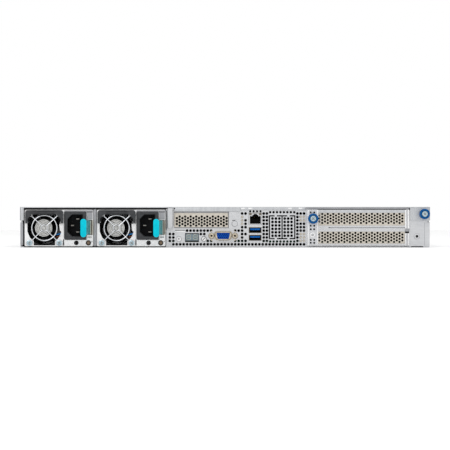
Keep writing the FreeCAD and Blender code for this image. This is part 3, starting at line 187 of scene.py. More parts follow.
def addBox(bm, x0, x1, y0, y1, z0, z1, edge=0.0, steps=2, paint=0):
    part = bmesh.new()
    bmesh.ops.create_cube(part, size=1.0)
    bmesh.ops.scale(part, vec=(x1 - x0, y1 - y0, z1 - z0), verts=part.verts[:])
    bmesh.ops.translate(part, vec=((x0 + x1) / 2, (y0 + y1) / 2, (z0 + z1) / 2), verts=part.verts[:])
    if edge:
        roundEdges(part, edge, steps)
    merge(bm, part, paint)


# Round bar between two points, with a chamfered or rounded rim if asked
def addRod(bm, start, end, radius, sides=20, tip=None, edge=0.0, paint=0):
    start, end = Vector(start), Vector(end)
    along = end - start
    turn = Vector((0, 0, 1)).rotation_difference(along).to_matrix().to_4x4()
    part = bmesh.new()
    bmesh.ops.create_cone(part, cap_ends=True, segments=sides, radius1=radius,
                          radius2=radius if tip is None else tip, depth=along.length,
                          matrix=Matrix.Translation((start + end) / 2) @ turn)
    if edge:
        rims = [e for e in part.edges if any(len(f.verts) > 4 for f in e.link_faces)]
        roundEdges(part, edge, 2, rims)
    merge(bm, part, paint)


# Pushes faces along a vector, with walls behind them
def pushFaces(part, faces, along):
    pushed = bmesh.ops.extrude_face_region(part, geom=faces)["geom"]
    bmesh.ops.translate(part, vec=along,
                        verts=[item for item in pushed if isinstance(item, bmesh.types.BMVert)])


# Closed outline of points in space, pushed along a vector
def pushedShape(points, along):
    part = bmesh.new()
    pushFaces(part, [part.faces.new([part.verts.new(point) for point in points])], along)
    return part


# Cuts a part at a plane, drops the side that the normal points to, and closes it
def cutAway(part, place, normal):
    bmesh.ops.bisect_plane(part, geom=part.verts[:] + part.edges[:] + part.faces[:], plane_co=place,
                           plane_no=normal, clear_outer=True)
    bmesh.ops.holes_fill(part, edges=[e for e in part.edges if e.is_boundary], sides=0)


# Edges of one closed outline given as X and Z, its corners rounded if asked
def outlineEdges(part, points, y, corner=0.0, steps=4):
    known = set(part.edges)
    face = part.faces.new([part.verts.new((x, y, z)) for x, z in points])
    if corner:
        bmesh.ops.bevel(part, geom=face.verts[:], offset=corner, offset_type="OFFSET", segments=steps,
                        profile=0.5, affect="VERTICES", clamp_overlap=True, material=-1)
    bmesh.ops.delete(part, geom=part.faces[:], context="FACES_ONLY")
    return [e for e in part.edges if e not in known]


# Faces that fill what lies between closed outlines
def fillBetween(part, edges):
    filled = bmesh.ops.triangle_fill(part, use_beauty=True, use_dissolve=False, edges=edges)["geom"]
    return [item for item in filled if isinstance(item, bmesh.types.BMFace)]


# Sheet seen from the rear: an outline with round holes (x, z, radius) and shaped cuts, from depth y0 to y1
def addPlate(bm, outline, y0, y1, holes=(), cuts=(), corner=0.0, cutCorner=0.0, sides=14, matrix=None,
             paint=0):
    part = bmesh.new()
    edges = outlineEdges(part, outline, y0, corner)
    for points in cuts:
        edges += outlineEdges(part, points, y0, cutCorner)
    facing = Matrix.Rotation(math.pi / 2, 4, "X")
    for x, z, radius in holes:
        made = bmesh.ops.create_circle(part, cap_ends=False, segments=sides, radius=radius,
                                       matrix=Matrix.Translation((x, y0, z)) @ facing)["verts"]
        edges += {e for v in made for e in v.link_edges}
    pushFaces(part, fillBetween(part, edges), (0, y1 - y0, 0))
    if matrix:
        bmesh.ops.transform(part, matrix=matrix, verts=part.verts[:])
    merge(bm, part, paint)


# Sheet or board lying flat: its outline given as X and depth, between two heights
def addFlat(bm, outline, z0, z1, holes=(), cuts=(), corner=0.0, cutCorner=0.0, paint=0):
    lying = Matrix.Rotation(-math.pi / 2, 4, "X")
    addPlate(bm, outline, -z0, -z1, holes, cuts, corner, cutCorner, 12, lying, paint)


def rectangle(x0, x1, z0, z1):
    return [(x0, z0), (x1, z0), (x1, z1), (x0, z1)]


# Rectangle round a middle, reaching half its width and half its height from it
def around(x, halfWide, z, halfTall):
    return rectangle(*span(x, halfWide), *span(z, halfTall))


# Turns a part's loose profile once round an axis along the depth
def spinRound(part, geom, steps):
    bmesh.ops.spin(part, geom=geom, cent=(0, 0, 0), axis=(0, 1, 0), dvec=(0, 0, 0), angle=2 * math.pi,
                   steps=steps, use_merge=True, use_duplicate=False)
    bmesh.ops.remove_doubles(part, verts=part.verts[:], dist=0.001)


# Turned part about an axis along the depth, through x and z: its profile is a list of (radius, depth)
def addTurned(bm, x, z, profile, steps=32, paint=0):
    part = bmesh.new()
    verts = [part.verts.new((radius, y, 0)) for radius, y in profile]
    edges = [part.edges.new(pair) for pair in zip(verts, verts[1:])]
    spinRound(part, verts + edges, steps)
    bmesh.ops.translate(part, vec=(x, 0, z), verts=part.verts[:])
    merge(bm, part, paint)


# Ring of round wire, lying in a plane across the depth
def addWireRing(bm, x, y, z, radius, wire, steps=48, sides=10, paint=0):
    part = bmesh.new()
    made = bmesh.ops.create_circle(part, cap_ends=False, segments=sides, radius=wire / 2,
                                   matrix=Matrix.Translation((radius, 0, 0)))["verts"]
    spinRound(part, made + list({e for v in made for e in v.link_edges}), steps)
    bmesh.ops.translate(part, vec=(x, y, z), verts=part.verts[:])
    merge(bm, part, paint)


# Bent wire or lead through points, with soft corners
def addWire(bm, points, wire, paint=0):
    curve = bpy.data.curves.new("bentWire", "CURVE")
    curve.dimensions = "3D"
    curve.bevel_depth = wire / 2
    curve.bevel_resolution = 2
    curve.use_fill_caps = True
    spline = curve.splines.new("NURBS")
    spline.points.add(len(points) - 1)
    for slot, point in zip(spline.points, points):
        slot.co = (*point, 1.0)
    spline.order_u = 3
    spline.use_endpoint_u = True
    spline.resolution_u = 3
    holder = bpy.data.objects.new("bentWire", curve)
    mesh = bpy.data.meshes.new_from_object(holder)
    part = bmesh.new()
    part.from_mesh(mesh)
    bmesh.ops.remove_doubles(part, verts=part.verts[:], dist=0.001)
    bpy.data.objects.remove(holder)
    bpy.data.curves.remove(curve)
    bpy.data.meshes.remove(mesh)
    merge(bm, part, paint)


# Cross-head screw seen from the rear, its head proud of depth y
def addScrew(bm, x, y, z, radius, proud, paint, turn, recess):
    addTurned(bm, x, z, [(0, y - proud), (radius * 0.55, y - proud), (radius * 0.9, y - proud * 0.7),
                         (radius, y - proud * 0.2), (radius, y), (0, y)], 20, paint)
    # The cross of the recess, drawn as rods in the recess finish: painted shade
    for angle in (turn, turn + math.pi / 2):
        reach = Vector((math.cos(angle), 0, math.sin(angle))) * radius * 0.55
        middle = Vector((x, y - proud - 0.02, z))
        addRod(bm, middle - reach, middle + reach, radius * 0.13, 6, paint=recess)


# Turns millimetres and depths into the frame's metres and makes the piece ride on its body
def finishPiece(bm, name, look, node, body="root"):
    place = Matrix.Translation((0, rearY, 0)) @ Matrix.Scale(mm, 4)
    bmesh.ops.transform(bm, matrix=place, verts=bm.verts[:])
    mesh = bpy.data.meshes.new(name)
    bm.to_mesh(mesh)
    bm.free()
    for key in look["materials"]:
        mesh.materials.append(finish[key])
    for polygon in mesh.polygons:
        polygon.use_smooth = True
    mesh.set_sharp_from_angle(angle=math.radians(32.0))
    piece = bpy.data.objects.new(name, mesh)
    bpy.context.scene.collection.objects.link(piece)
    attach(piece, body)
    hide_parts(node)


# Places that several pieces share
panelBox = boxMm("rear_panel")
panelLeft, panelRight, panelTop = panelBox[0], panelBox[1], panelBox[5]
supplies = [boxMm(f"psu_{n}_case") for n in (1, 2)]
supplyLeft = [box[0] for box in supplies]
fanZ = (supplies[0][4] + supplies[0][5]) / 2
videoPlace = (middleOf("vga_port")[0], 12.4)
jackReach = 12.5  # from the video socket's middle to each of its jack screws
dataLevels = (10.3, 18.5)
riserKnob = middleOf("thumbscrew_riser")
rearButtons = [middleOf(node) for node in ("identify_button_rear", "reset_button_rear")]
# Small holes of the riser bracket: their heights, and the two columns
bracketRows = (4.9, 8.0, 19.4, 23.2, 37.4)
bracketColumns = (91.9, 95.6)

# Rear panel: sheet pierced by a square grid of vents, of which rows and part rows are used
panel = {
    "thickness": 1.0, "ventRadius": 1.52, "ventPitch": 3.687, "rowPitch": 3.67,
    "firstVent": 8.0, "firstRow": 3.3, "socketVent": 90.4,
    # Row, first column and last column of each run of vents
    "runs": [(0, 0, 38), (1, -1, 0), (2, -1, 0), (3, -1, 0), (1, 10, 11), (1, 18, 21), (2, 20, 20), (3, 8, 9),
             (3, 20, 21), (4, 4, 11), (4, 18, 20), (5, 20, 21), (6, 20, 21), (7, 20, 21), (8, 20, 20),
             (9, 20, 21)],
    # Columns of nine vents beside the knock-outs, from the panel's left end
    "columns": (104.9, 108.3, 141.0, 144.5, 148.1),
    "knockout": {"left": 111.0, "width": 27.2, "low": 8.7, "high": 34.5, "slit": 1.4, "bridge": 2.4},
    "step": (2.2, 26.8, 1.9), "boss": (205.8, 11.9), "buttonHole": 3.0, "jackHole": 2.6, "knobHole": 2.4,
    "networkCut": (25.3, 39.7, 24.4, 37.2), "dataCut": (25.5, 39.1, 3.1), "displayCut": (5.6, 15.3),
    # Right half of the cut for the video socket, from its middle
    "videoCut": [(8.3, 4.8), (9.7, 3.2), (8.9, -3.2), (7.3, -4.8)],
    "slotMouth": (1.5, 4.2, 20.5, 38.5), "slotNeck": (1.5, 3.2, 21.7, 36.9),
    # Raised details, painted shadows and painted shade: X, depth and Z from and to, rounding, its steps, and
    # the finish
    "details": [
        (7.6, 15.0, -0.3, 0.02, 30.2, 38.0, 0.25, 2, 0),  # pressed tongue and its shadow
        (7.8, 11.0, -0.12, 0.02, 28.7, 29.3, 0.05, 1, 1),
        (-53.5, -42.7, -0.35, 0.02, 16.5, 18.0, 0.3, 2, 4),  # pressed lance painted bright as a highlight, and a painted shadow above it
        (-53.5, -42.7, -0.1, 0.02, 18.0, 18.7, 0.05, 1, 1),
        (80.0, 86.2, 1.25, 1.8, 27.5, 34.8, 0.1, 1, 2),  # strips behind some of the vents
        (80.0, 86.2, 1.25, 1.8, 5.3, 16.5, 0.1, 1, 2), (16.0, 19.8, 1.25, 1.8, 23.6, 34.6, 0.1, 1, 2),
        (panelLeft, panelLeft + 0.8, -0.04, 0.3, 18.4, 39.6, 0, 0, 1),  # painted shadow in the gap beside the supply, and painted shade below it
        (panelLeft, panelLeft + 0.8, -0.04, 0.3, 2.0, 18.4, 0, 0, 3),
        (213.7, 214.1, -0.03, 0.02, 2.0, 26.6, 0, 0, 3),  # painted shade along the fold line of the right end
        (199.4, 212.5, -0.5, 0.9, 0.05, 1.2, 0.3, 2, 1),  # dark strip under the right end: a painted shadow where the pan's hem stands in shade
        (89.5, 197.6, -0.35, 0.1, 0.85, 1.6, 0.1, 1, 3),  # shaded edge below the riser bracket
    ],
    "materials": ["zincSteel", "deepBlack", "nickelSteel", "shadedSteel", "brightSteel"],
}


def bracketSlit(x0, x1, z0, z1, wide):
    # Slit that follows the end of a plate: a square bracket opening towards x1
    step = wide if x1 > x0 else -wide
    return [(x1, z1), (x0, z1), (x0, z0), (x1, z0), (x1, z0 + wide), (x0 + step, z0 + wide),
            (x0 + step, z1 - wide), (x1, z1 - wide)]


def panelVents():
    look = panel
    pitch, radius = look["ventPitch"], look["ventRadius"]
    first = panelLeft + look["firstVent"]
    rows = [look["firstRow"] + row * look["rowPitch"] for row in range(10)]
    vents = [(first + column * pitch, rows[row], radius) for row, start, end in look["runs"]
             for column in range(start, end + 1)]
    vents += [(panelLeft + place, z, radius) for place in look["columns"] for z in rows[1:]]
    ko = look["knockout"]
    left = panelLeft + ko["left"]
    # Above and below the knock-outs
    vents += [(left + 0.8 + column * pitch, z, radius * 0.9) for column in range(8)
              for z in (ko["low"] - 2.4, ko["high"] + 3.2)]
    # Above the network socket
    vents += [(panelLeft + look["socketVent"] + column * pitch, panelTop - 2.4, radius * 0.8)
              for column in range(4)]
    vents += [(plate + column * pitch, ko["low"] + 3.8 + row * pitch, radius)  # in the two plates
              for plate in (left + 3.3, left + ko["width"] / 2 + 2.8) for column in range(3)
              for row in range(6)]
    return vents


# Slits round the two knock-out plates, broken by their bridges
def knockoutSlits():
    ko = panel["knockout"]
    left, right = panelLeft + ko["left"], panelLeft + ko["left"] + ko["width"]
    middle, half, bridge = (left + right) / 2, ko["slit"] / 2, ko["bridge"] / 2
    leftBridge, rightBridge = (left + middle) / 2, (middle + right) / 2
    low, high, slit = ko["low"], ko["high"], ko["slit"]
    return [bracketSlit(left - half, leftBridge - bridge, low, high, slit),
            bracketSlit(right + half, rightBridge + bridge, low, high, slit),
            [(leftBridge + bridge, high), (leftBridge + bridge, high - slit), (middle - half, high - slit),
             (middle - half, low + slit), (leftBridge + bridge, low + slit), (leftBridge + bridge, low),
             (rightBridge - bridge, low), (rightBridge - bridge, low + slit), (middle + half, low + slit),
             (middle + half, high - slit), (rightBridge - bridge, high - slit), (rightBridge - bridge, high)]]


def buildRearPanel():
    look = panel
    riser, slot = boxMm("full_height_slot_covers"), boxMm("low_profile_slot_cover")
    display = boxMm("status_display")
    right0, right1 = riser[0] - 0.3, riser[1] + 0.3
    stepIn, stepZ, sill = look["step"]
    stepX = panelRight - stepIn
    outline = [(panelLeft, panelBox[4]), (panelRight, panelBox[4]), (panelRight, stepZ), (stepX, stepZ),
               (stepX, panelTop), (right1, panelTop), (right1, sill), (right0, sill), (right0, panelTop),
               (panelLeft, panelTop)]
    holes = panelVents()
    holes += [(x, z, look["buttonHole"]) for x, z in rearButtons]
    holes += [(*look["boss"], 1.4)]
    holes += [(videoPlace[0] + side * jackReach, videoPlace[1], look["jackHole"]) for side in (-1, 1)]
    holes += [(*riserKnob, look["knobHole"])]
    holes += [(x, z, 1.0) for z in bracketRows for x in bracketColumns if abs(z - riserKnob[1]) > 4]
    cuts = knockoutSlits()
    cuts.append(rectangle(display[0] - 0.2, display[1] + 0.2, *look["displayCut"]))
    cuts += [rectangle(*look["dataCut"][:2], *span(z, look["dataCut"][2])) for z in dataLevels]
    cuts.append(rectangle(*look["networkCut"]))
    cuts.append([(videoPlace[0] - across, videoPlace[1] + rise) for across, rise in look["videoCut"]]
                + [(videoPlace[0] + across, videoPlace[1] + rise) for across, rise in look["videoCut"][::-1]])
    mouth, neck = (rectangle(slot[0] + place[0], *place[1:])
                   for place in (look["slotMouth"], look["slotNeck"]))
    bm = bmesh.new()
    addPlate(bm, outline, 0, look["thickness"], holes, cuts + [mouth])
    rim = bmesh.new()  # drawn rim of the low-profile slot, from its wide mouth inwards to its neck, in painted shade
    loops = outlineEdges(rim, mouth, 0.0) + outlineEdges(rim, neck, 1.25)
    bmesh.ops.bridge_loops(rim, edges=loops)
    merge(bm, rim, 3)
    # Pressed ring, in painted shade
    addTurned(bm, 10.4, 25.3, [(3.4, 0.0), (3.4, -0.16), (3.05, -0.22), (2.7, -0.16), (2.7, 0.0)], 32, 3)
    addTurned(bm, *look["boss"], [(2.95, 0.0), (2.95, -0.4), (2.6, -0.6), (1.5, -0.6), (1.35, -0.3),
                                  (1.35, 0.0)], 28)
    # Painted shade in the groove round the boss
    addWireRing(bm, look["boss"][0], -0.3, look["boss"][1], 2.95, 0.4, 32, 8, 3)
    for detail in look["details"]:
        addBox(bm, *detail)
    finishPiece(bm, "pierced_rear_panel", look, "rear_panel")


# Slot covers: beige sheet with close round holes, three and four to a column
slotCover = {"height": 16.8, "holeRadius": 1.25, "halfRadius": 1.34, "pitch": 2.96, "row": 3.2,
             "materials": ["nickelSteel"]}


def coverHoles(left, right, middle, radius):
    look = slotCover
    holes = []
    for column in range(1 + int((right - left) / look["pitch"])):
        rows = 3 + column % 2
        holes += [(left + column * look["pitch"], middle + (row - (rows - 1) / 2) * look["row"], radius)
                  for row in range(rows)]
    return holes


def buildSlotCovers():
    look = slotCover
    left, right, rear, front, low, high = boxMm("full_height_slot_covers")
    half = look["height"] / 2
    bm = bmesh.new()
    for middle in (low + half, high - half):
        holes = coverHoles(left + 2.1, right - 3.0, middle, look["holeRadius"])
        addPlate(bm, rectangle(left, right, *span(middle, half)), 0, 1, holes, sides=12)
    finishPiece(bm, "full_height_covers_pierced", look, "full_height_slot_covers")
    left, right, rear, front, low, high = boxMm("low_profile_slot_cover")
    bm = bmesh.new()
    holes = coverHoles(left + 4.4, right - 2.7, (low + high) / 2 - 0.95, look["halfRadius"])
    addPlate(bm, rectangle(left, right, low, high), rear, front, holes, sides=12)
    finishPiece(bm, "low_profile_cover_pierced", look, "low_profile_slot_cover")


# Bracket of the riser cage with its two slot openings, and the wall and roof behind it
riserCage = {"right": 197.0, "sheet": 1.0, "wallX": 101.6, "roof": 30, "boss": (93.9, 13.4),
             "holeRadius": 1.12,
             # The two slots, the slit between them, and the notch at their right
             "openings": [(99.9, 192.8, 4.0, 17.0), (99.9, 192.8, 23.4, 37.1), (110.9, 192.8, 20.7, 21.6),
                          (193.0, 196.8, 15.2, 16.9)],
             "folds": [(88.4, 90.2), (98.4, 99.8), (193.0, 194.5), (195.6, 197.4)],
             "materials": ["zincSteel", "brightSteel", "shadedSteel", "deepBlack", "coverSteel"]}


def buildRiserCage():
    look = riserCage
    left, _, rear, length, low, high = boxMm("riser_cage")
    front, wallX, roof = rear + look["sheet"], look["wallX"], look["wallX"] + look["roof"]
    bm = bmesh.new()
    holes = [(*riserKnob, 2.2), (*look["boss"], 1.2)]
    holes += [(x, z, look["holeRadius"]) for z in bracketRows for x in bracketColumns]
    addPlate(bm, rectangle(left, look["right"], low, high), rear, front, holes,
             [rectangle(*opening) for opening in look["openings"]])
    addBox(bm, wallX, wallX + look["sheet"], 1.35, length, 7.1, high, 0.1, 1)
    addBox(bm, wallX, roof, 1.35, length, high - 1, high, 0.1, 1)
    addBox(bm, wallX, roof, rear + 0.2, 1.4, high - 1, high, 0.1, 1)
    for x0, x1 in look["folds"]:  # folds along both sides of the bracket, painted bright as highlights
        addBox(bm, x0, x1, rear - 0.25, rear + 0.3, low + 0.3, high - 0.3, 0.12, 2, paint=1)
    # Painted shade on a column and on the tongue, and a painted shadow under the tongue
    addBox(bm, 194.5, 195.6, rear - 0.02, rear + 0.3, low + 0.3, high - 0.3, paint=2)
    addBox(bm, 192.9, 197.6, rear - 0.5, rear + 0.1, 17.0, 20.3, 0.2, 2, paint=2)
    addBox(bm, 193.0, 197.2, rear - 0.4, rear + 0.1, 15.2, 17.0, 0.1, 1, paint=3)
    addBox(bm, 99.9, 192.9, rear - 0.06, rear + 0.3, 37.3, high - 0.1, paint=4)  # band above the upper cover, in painted shade
    # Painted shade behind the slit between the two slots
    addBox(bm, 112.6, 192.4, front - 0.5, front - 0.2, 20.6, 21.7, paint=2)
    addTurned(bm, *look["boss"], [(2.7, rear), (2.7, rear - 0.3), (2.3, rear - 0.45), (1.4, rear - 0.3),
                                  (1.2, rear + 0.1), (1.2, rear + 0.2)], 24, 1)
    finishPiece(bm, "riser_bracket", look, "riser_cage")


# Bent bracket that holds down the low-profile cover, its lower right corner cut away
retainer = {"edge": 0.35, "cutRise": 3.4, "materials": ["zincSteel"]}


def buildRetainer():
    look = retainer
    left, right, rear, front, low, high = boxMm("slot_retainer")
    outer = [(left, front), (left + 1.0, rear), (right - 2.0, rear), (right, front - 0.9), (right, front)]
    inner = [(right - 0.8, front), (right - 0.8, front - 0.6), (right - 2.4, rear + 0.8),
             (left + 1.4, rear + 0.8), (left + 0.8, front)]
    part = pushedShape([(x, y, low) for x, y in outer + inner], (0, 0, high - low))
    upright = [e for e in part.edges if abs(e.verts[0].co.z - e.verts[1].co.z) > 1
               and e.verts[0].co.y < front - 0.5]
    roundEdges(part, look["edge"], 3, upright)
    cutAway(part, (right, front, low + look["cutRise"]), (1, 0, -1))
    bm = bmesh.new()
    merge(bm, part)
    finishPiece(bm, "slot_retainer_bracket", look, "slot_retainer")


# Captive screw: knurled plastic knob with a bright cross-head screw in its middle
thumbscrew = {"knurls": 40, "groove": 0.28, "rim": 0.6, "crown": 0.35, "screw": 3.3, "shank": 1.8,
              "materials": ["bluePlastic", "blueZinc", "shadedPin"]}


def buildThumbscrew(node, body, name):
    look = thumbscrew
    box = boxMm(node)
    x, z = middleOf(node)
    radius = (box[1] - box[0]) / 2
    rear, seat = box[2] + 0.2, box[3] - 1.3
    bm = bmesh.new()
    knob = bmesh.new()
    made = bmesh.ops.create_circle(knob, segments=2 * look["knurls"], radius=radius,
                                   matrix=Matrix.Rotation(math.pi / 2, 4, "X"))["verts"]
    for index, vert in enumerate(made):  # every second corner is drawn in for the knurl
        if index % 2:
            vert.co *= 1 - look["groove"] / radius
    pushFaces(knob, [knob.faces.new(made)], (0, seat - rear, 0))
    bmesh.ops.recalc_face_normals(knob, faces=knob.faces[:])
    for end in [f for f in knob.faces if len(f.verts) > 10]:
        bmesh.ops.inset_region(knob, faces=[end], thickness=look["rim"], depth=0.0, use_even_offset=True)
    for end in [f for f in knob.faces if len(f.verts) > 10]:
        bmesh.ops.translate(knob, vec=end.normal * look["crown"], verts=end.verts[:])
    bmesh.ops.translate(knob, vec=(x, rear, z), verts=knob.verts[:])
    # A ring groove round the screw in the outer end
    outer = min((f for f in knob.faces if len(f.verts) > 10), key=lambda f: f.calc_center_median().y)
    for thickness, depth in ((1.0, 0.0), (0.2, -1.2)):
        bmesh.ops.inset_region(knob, faces=[outer], thickness=thickness, depth=depth, use_even_offset=True)
    low = min(v.co.y for v in knob.verts)
    merge(bm, knob, 0)
    addScrew(bm, x, low + 1.0, z, look["screw"], 1.0, paint=1, turn=0.785, recess=2)
    addRod(bm, (x, seat - 0.4, z), (x, box[3], z), look["shank"], 24, edge=0.2, paint=1)
    finishPiece(bm, name, look, node, body)


buildRearPanel()
buildSlotCovers()
buildRiserCage()
buildRetainer()
buildThumbscrew("thumbscrew_cover", "cover_screw", "knurled_cover_screw")
buildThumbscrew("thumbscrew_riser", "riser_screw", "knurled_riser_screw")
print("rear panel, slots and captive screws ready")


# Fan rotor: drawn hub with a ringed disc on its end, and swept blades thick at the root
rotor = {"blades": 5, "twist": 38.0, "tipTwist": 24.0, "lean": 0.35, "thickness": 1.5, "sections": 6,
         "supplyHub": 9.55, "supplyTip": 16.75, "systemHub": 10.4, "systemTip": 17.4,
         "grooves": (2.3, 4.5, 6.4, 8.0), "materials": ["fanBlack", "fanGrey"]}


def addBlades(bm, x, z, hub, tip, rear, front):
    look = rotor
    middle, reach = (rear + front) / 2, (front - rear) / 2 - 0.7
    for blade in range(look["blades"]):
        part = bmesh.new()
        rings = []
        for step in range(look["sections"]):
            share = step / (look["sections"] - 1)
            radius = hub - 0.6 + share * (tip - hub + 0.6)
            twist = math.radians(look["twist"] + (look["tipTwist"] - look["twist"]) * share)
            bearing = 2 * math.pi * blade / look["blades"] + look["lean"] * share
            half = reach / math.cos(twist)
            thick = look["thickness"] * (1 - 0.55 * share)
            ring = []
            for along, off in ((-1, 0.15), (-0.4, 0.5), (0.5, 0.45), (1, 0.1), (0.5, -0.45), (-0.4, -0.5)):
                depth = along * half * math.cos(twist) - off * thick * math.sin(twist)
                sideways = along * half * math.sin(twist) + off * thick * math.cos(twist)
                angle = bearing + sideways / max(radius, hub * 0.8)
                ring.append(part.verts.new((x + radius * math.cos(angle), middle + depth,
                                            z + radius * math.sin(angle))))
            rings.append([part.edges.new(pair) for pair in zip(ring, ring[1:] + ring[:1])])
        for near, far in zip(rings, rings[1:]):
            bmesh.ops.bridge_loops(part, edges=near + far)
        bmesh.ops.holes_fill(part, edges=[e for e in part.edges if e.is_boundary], sides=0)
        merge(bm, part)


def buildRotor(node, body, name):
    look = rotor
    kind = "supply" if node.startswith("psu") else "system"
    x, z = middleOf(node)
    if kind == "supply":
        z = fanZ
    rear, front = boxMm(node)[2:4]
    hub, tip = look[kind + "Hub"], look[kind + "Tip"]
    bm = bmesh.new()
    addTurned(bm, x, z, [(0, rear + 0.5), (hub - 0.4, rear + 0.5), (hub, rear + 1.0), (hub, front),
                         (0, front)], 44)
    rings = [(0, rear + 0.2)]
    for ring in range(4):  # rings pressed into the plate on the hub
        inner = 1.6 + ring * 2.0
        rings += [(inner, rear + 0.2), (inner + 0.35, rear), (inner + 1.1, rear), (inner + 1.5, rear + 0.35)]
    rings += [(hub - 0.4, rear + 0.3), (hub - 0.2, rear + 0.7), (0, rear + 0.7)]
    addTurned(bm, x, z, rings, 44, 1)
    for radius in look["grooves"]:  # painted shade: dark rings for the shaded grooves between the rings
        addWireRing(bm, x, rear + 0.05, z, radius, 0.42, 36, 6)
    addBlades(bm, x, z, hub, tip, rear, front)
    finishPiece(bm, name, look, node, body)


def finishSupplyPiece(bm, index, name, look, node, body=""):
    finishPiece(bm, f"supply_{index + 1}_{name}", look, f"psu_{index + 1}_{node}",
                f"psu_{index + 1}{body}")


# What the pieces of a supply share, from its left side: the fan's middle and its screws, the pins of
# the handle and of the latch, and the heights of the opening for the latch
supply = {"fanX": 21.2, "screw": 16.0, "pivot": (-3.1, 27.0), "pinX": 70.4, "pinDepth": 14,
          "latch": (13.4, 29.4)}

# Supply case: folded zinc sheet pierced for the fan, inlet, latch and lamp, with a bright rim
supplyCase = {
    "rear": 0.2, "sheet": 0.8, "chamfer": 1.0, "duct": 46.0, "length": 184.8, "lamp": (68.4, 4.85),
    "fingers": 22,
    # X from the supply's left side, Z and radius
    "holes": [(55.4, 4.85, 2.5), (68.4, 4.85, 2.85), (72.1, 6.3, 0.5)],
    # Inlet, latch, and the slits below and beside them: X from the left side, and Z
    "openings": [(43.0, 65.6, 9.2, 37.8), (67.1, 72.7, *supply["latch"]),
                 (67.6, 72.2, 10.6, 11.4), (41.2, 42.4, 1.9, 8.7), (43.2, 66.6, 8.05, 8.6)],
    # Right half of the window round the fan, from the fan's middle
    "window": [(18.3, 17.6), (18.3, -3.5), (17.6, -5.6), (15.6, -10.2), (13.4, -12.4), (11.5, -13.8),
               (11.4, -18.7)],
    "fold": [(15.8, 4.9), (17.2, 6.1), (18.6, 9.4), (18.8, 2.1), (18.5, -4.6), (16.6, -2.6)],
    # Height below the fan's middle, and finish of each lead
    "leads": ((-6.4, 3), (-7.8, 1), (-9.0, 4)),
    "materials": ["brightSteel", "deepBlack", "lampPlastic", "blueWire", "brownWire", "laminate",
                  "palePlastic", "chromeWire", "shadedSteel", "zincSteel"],
}


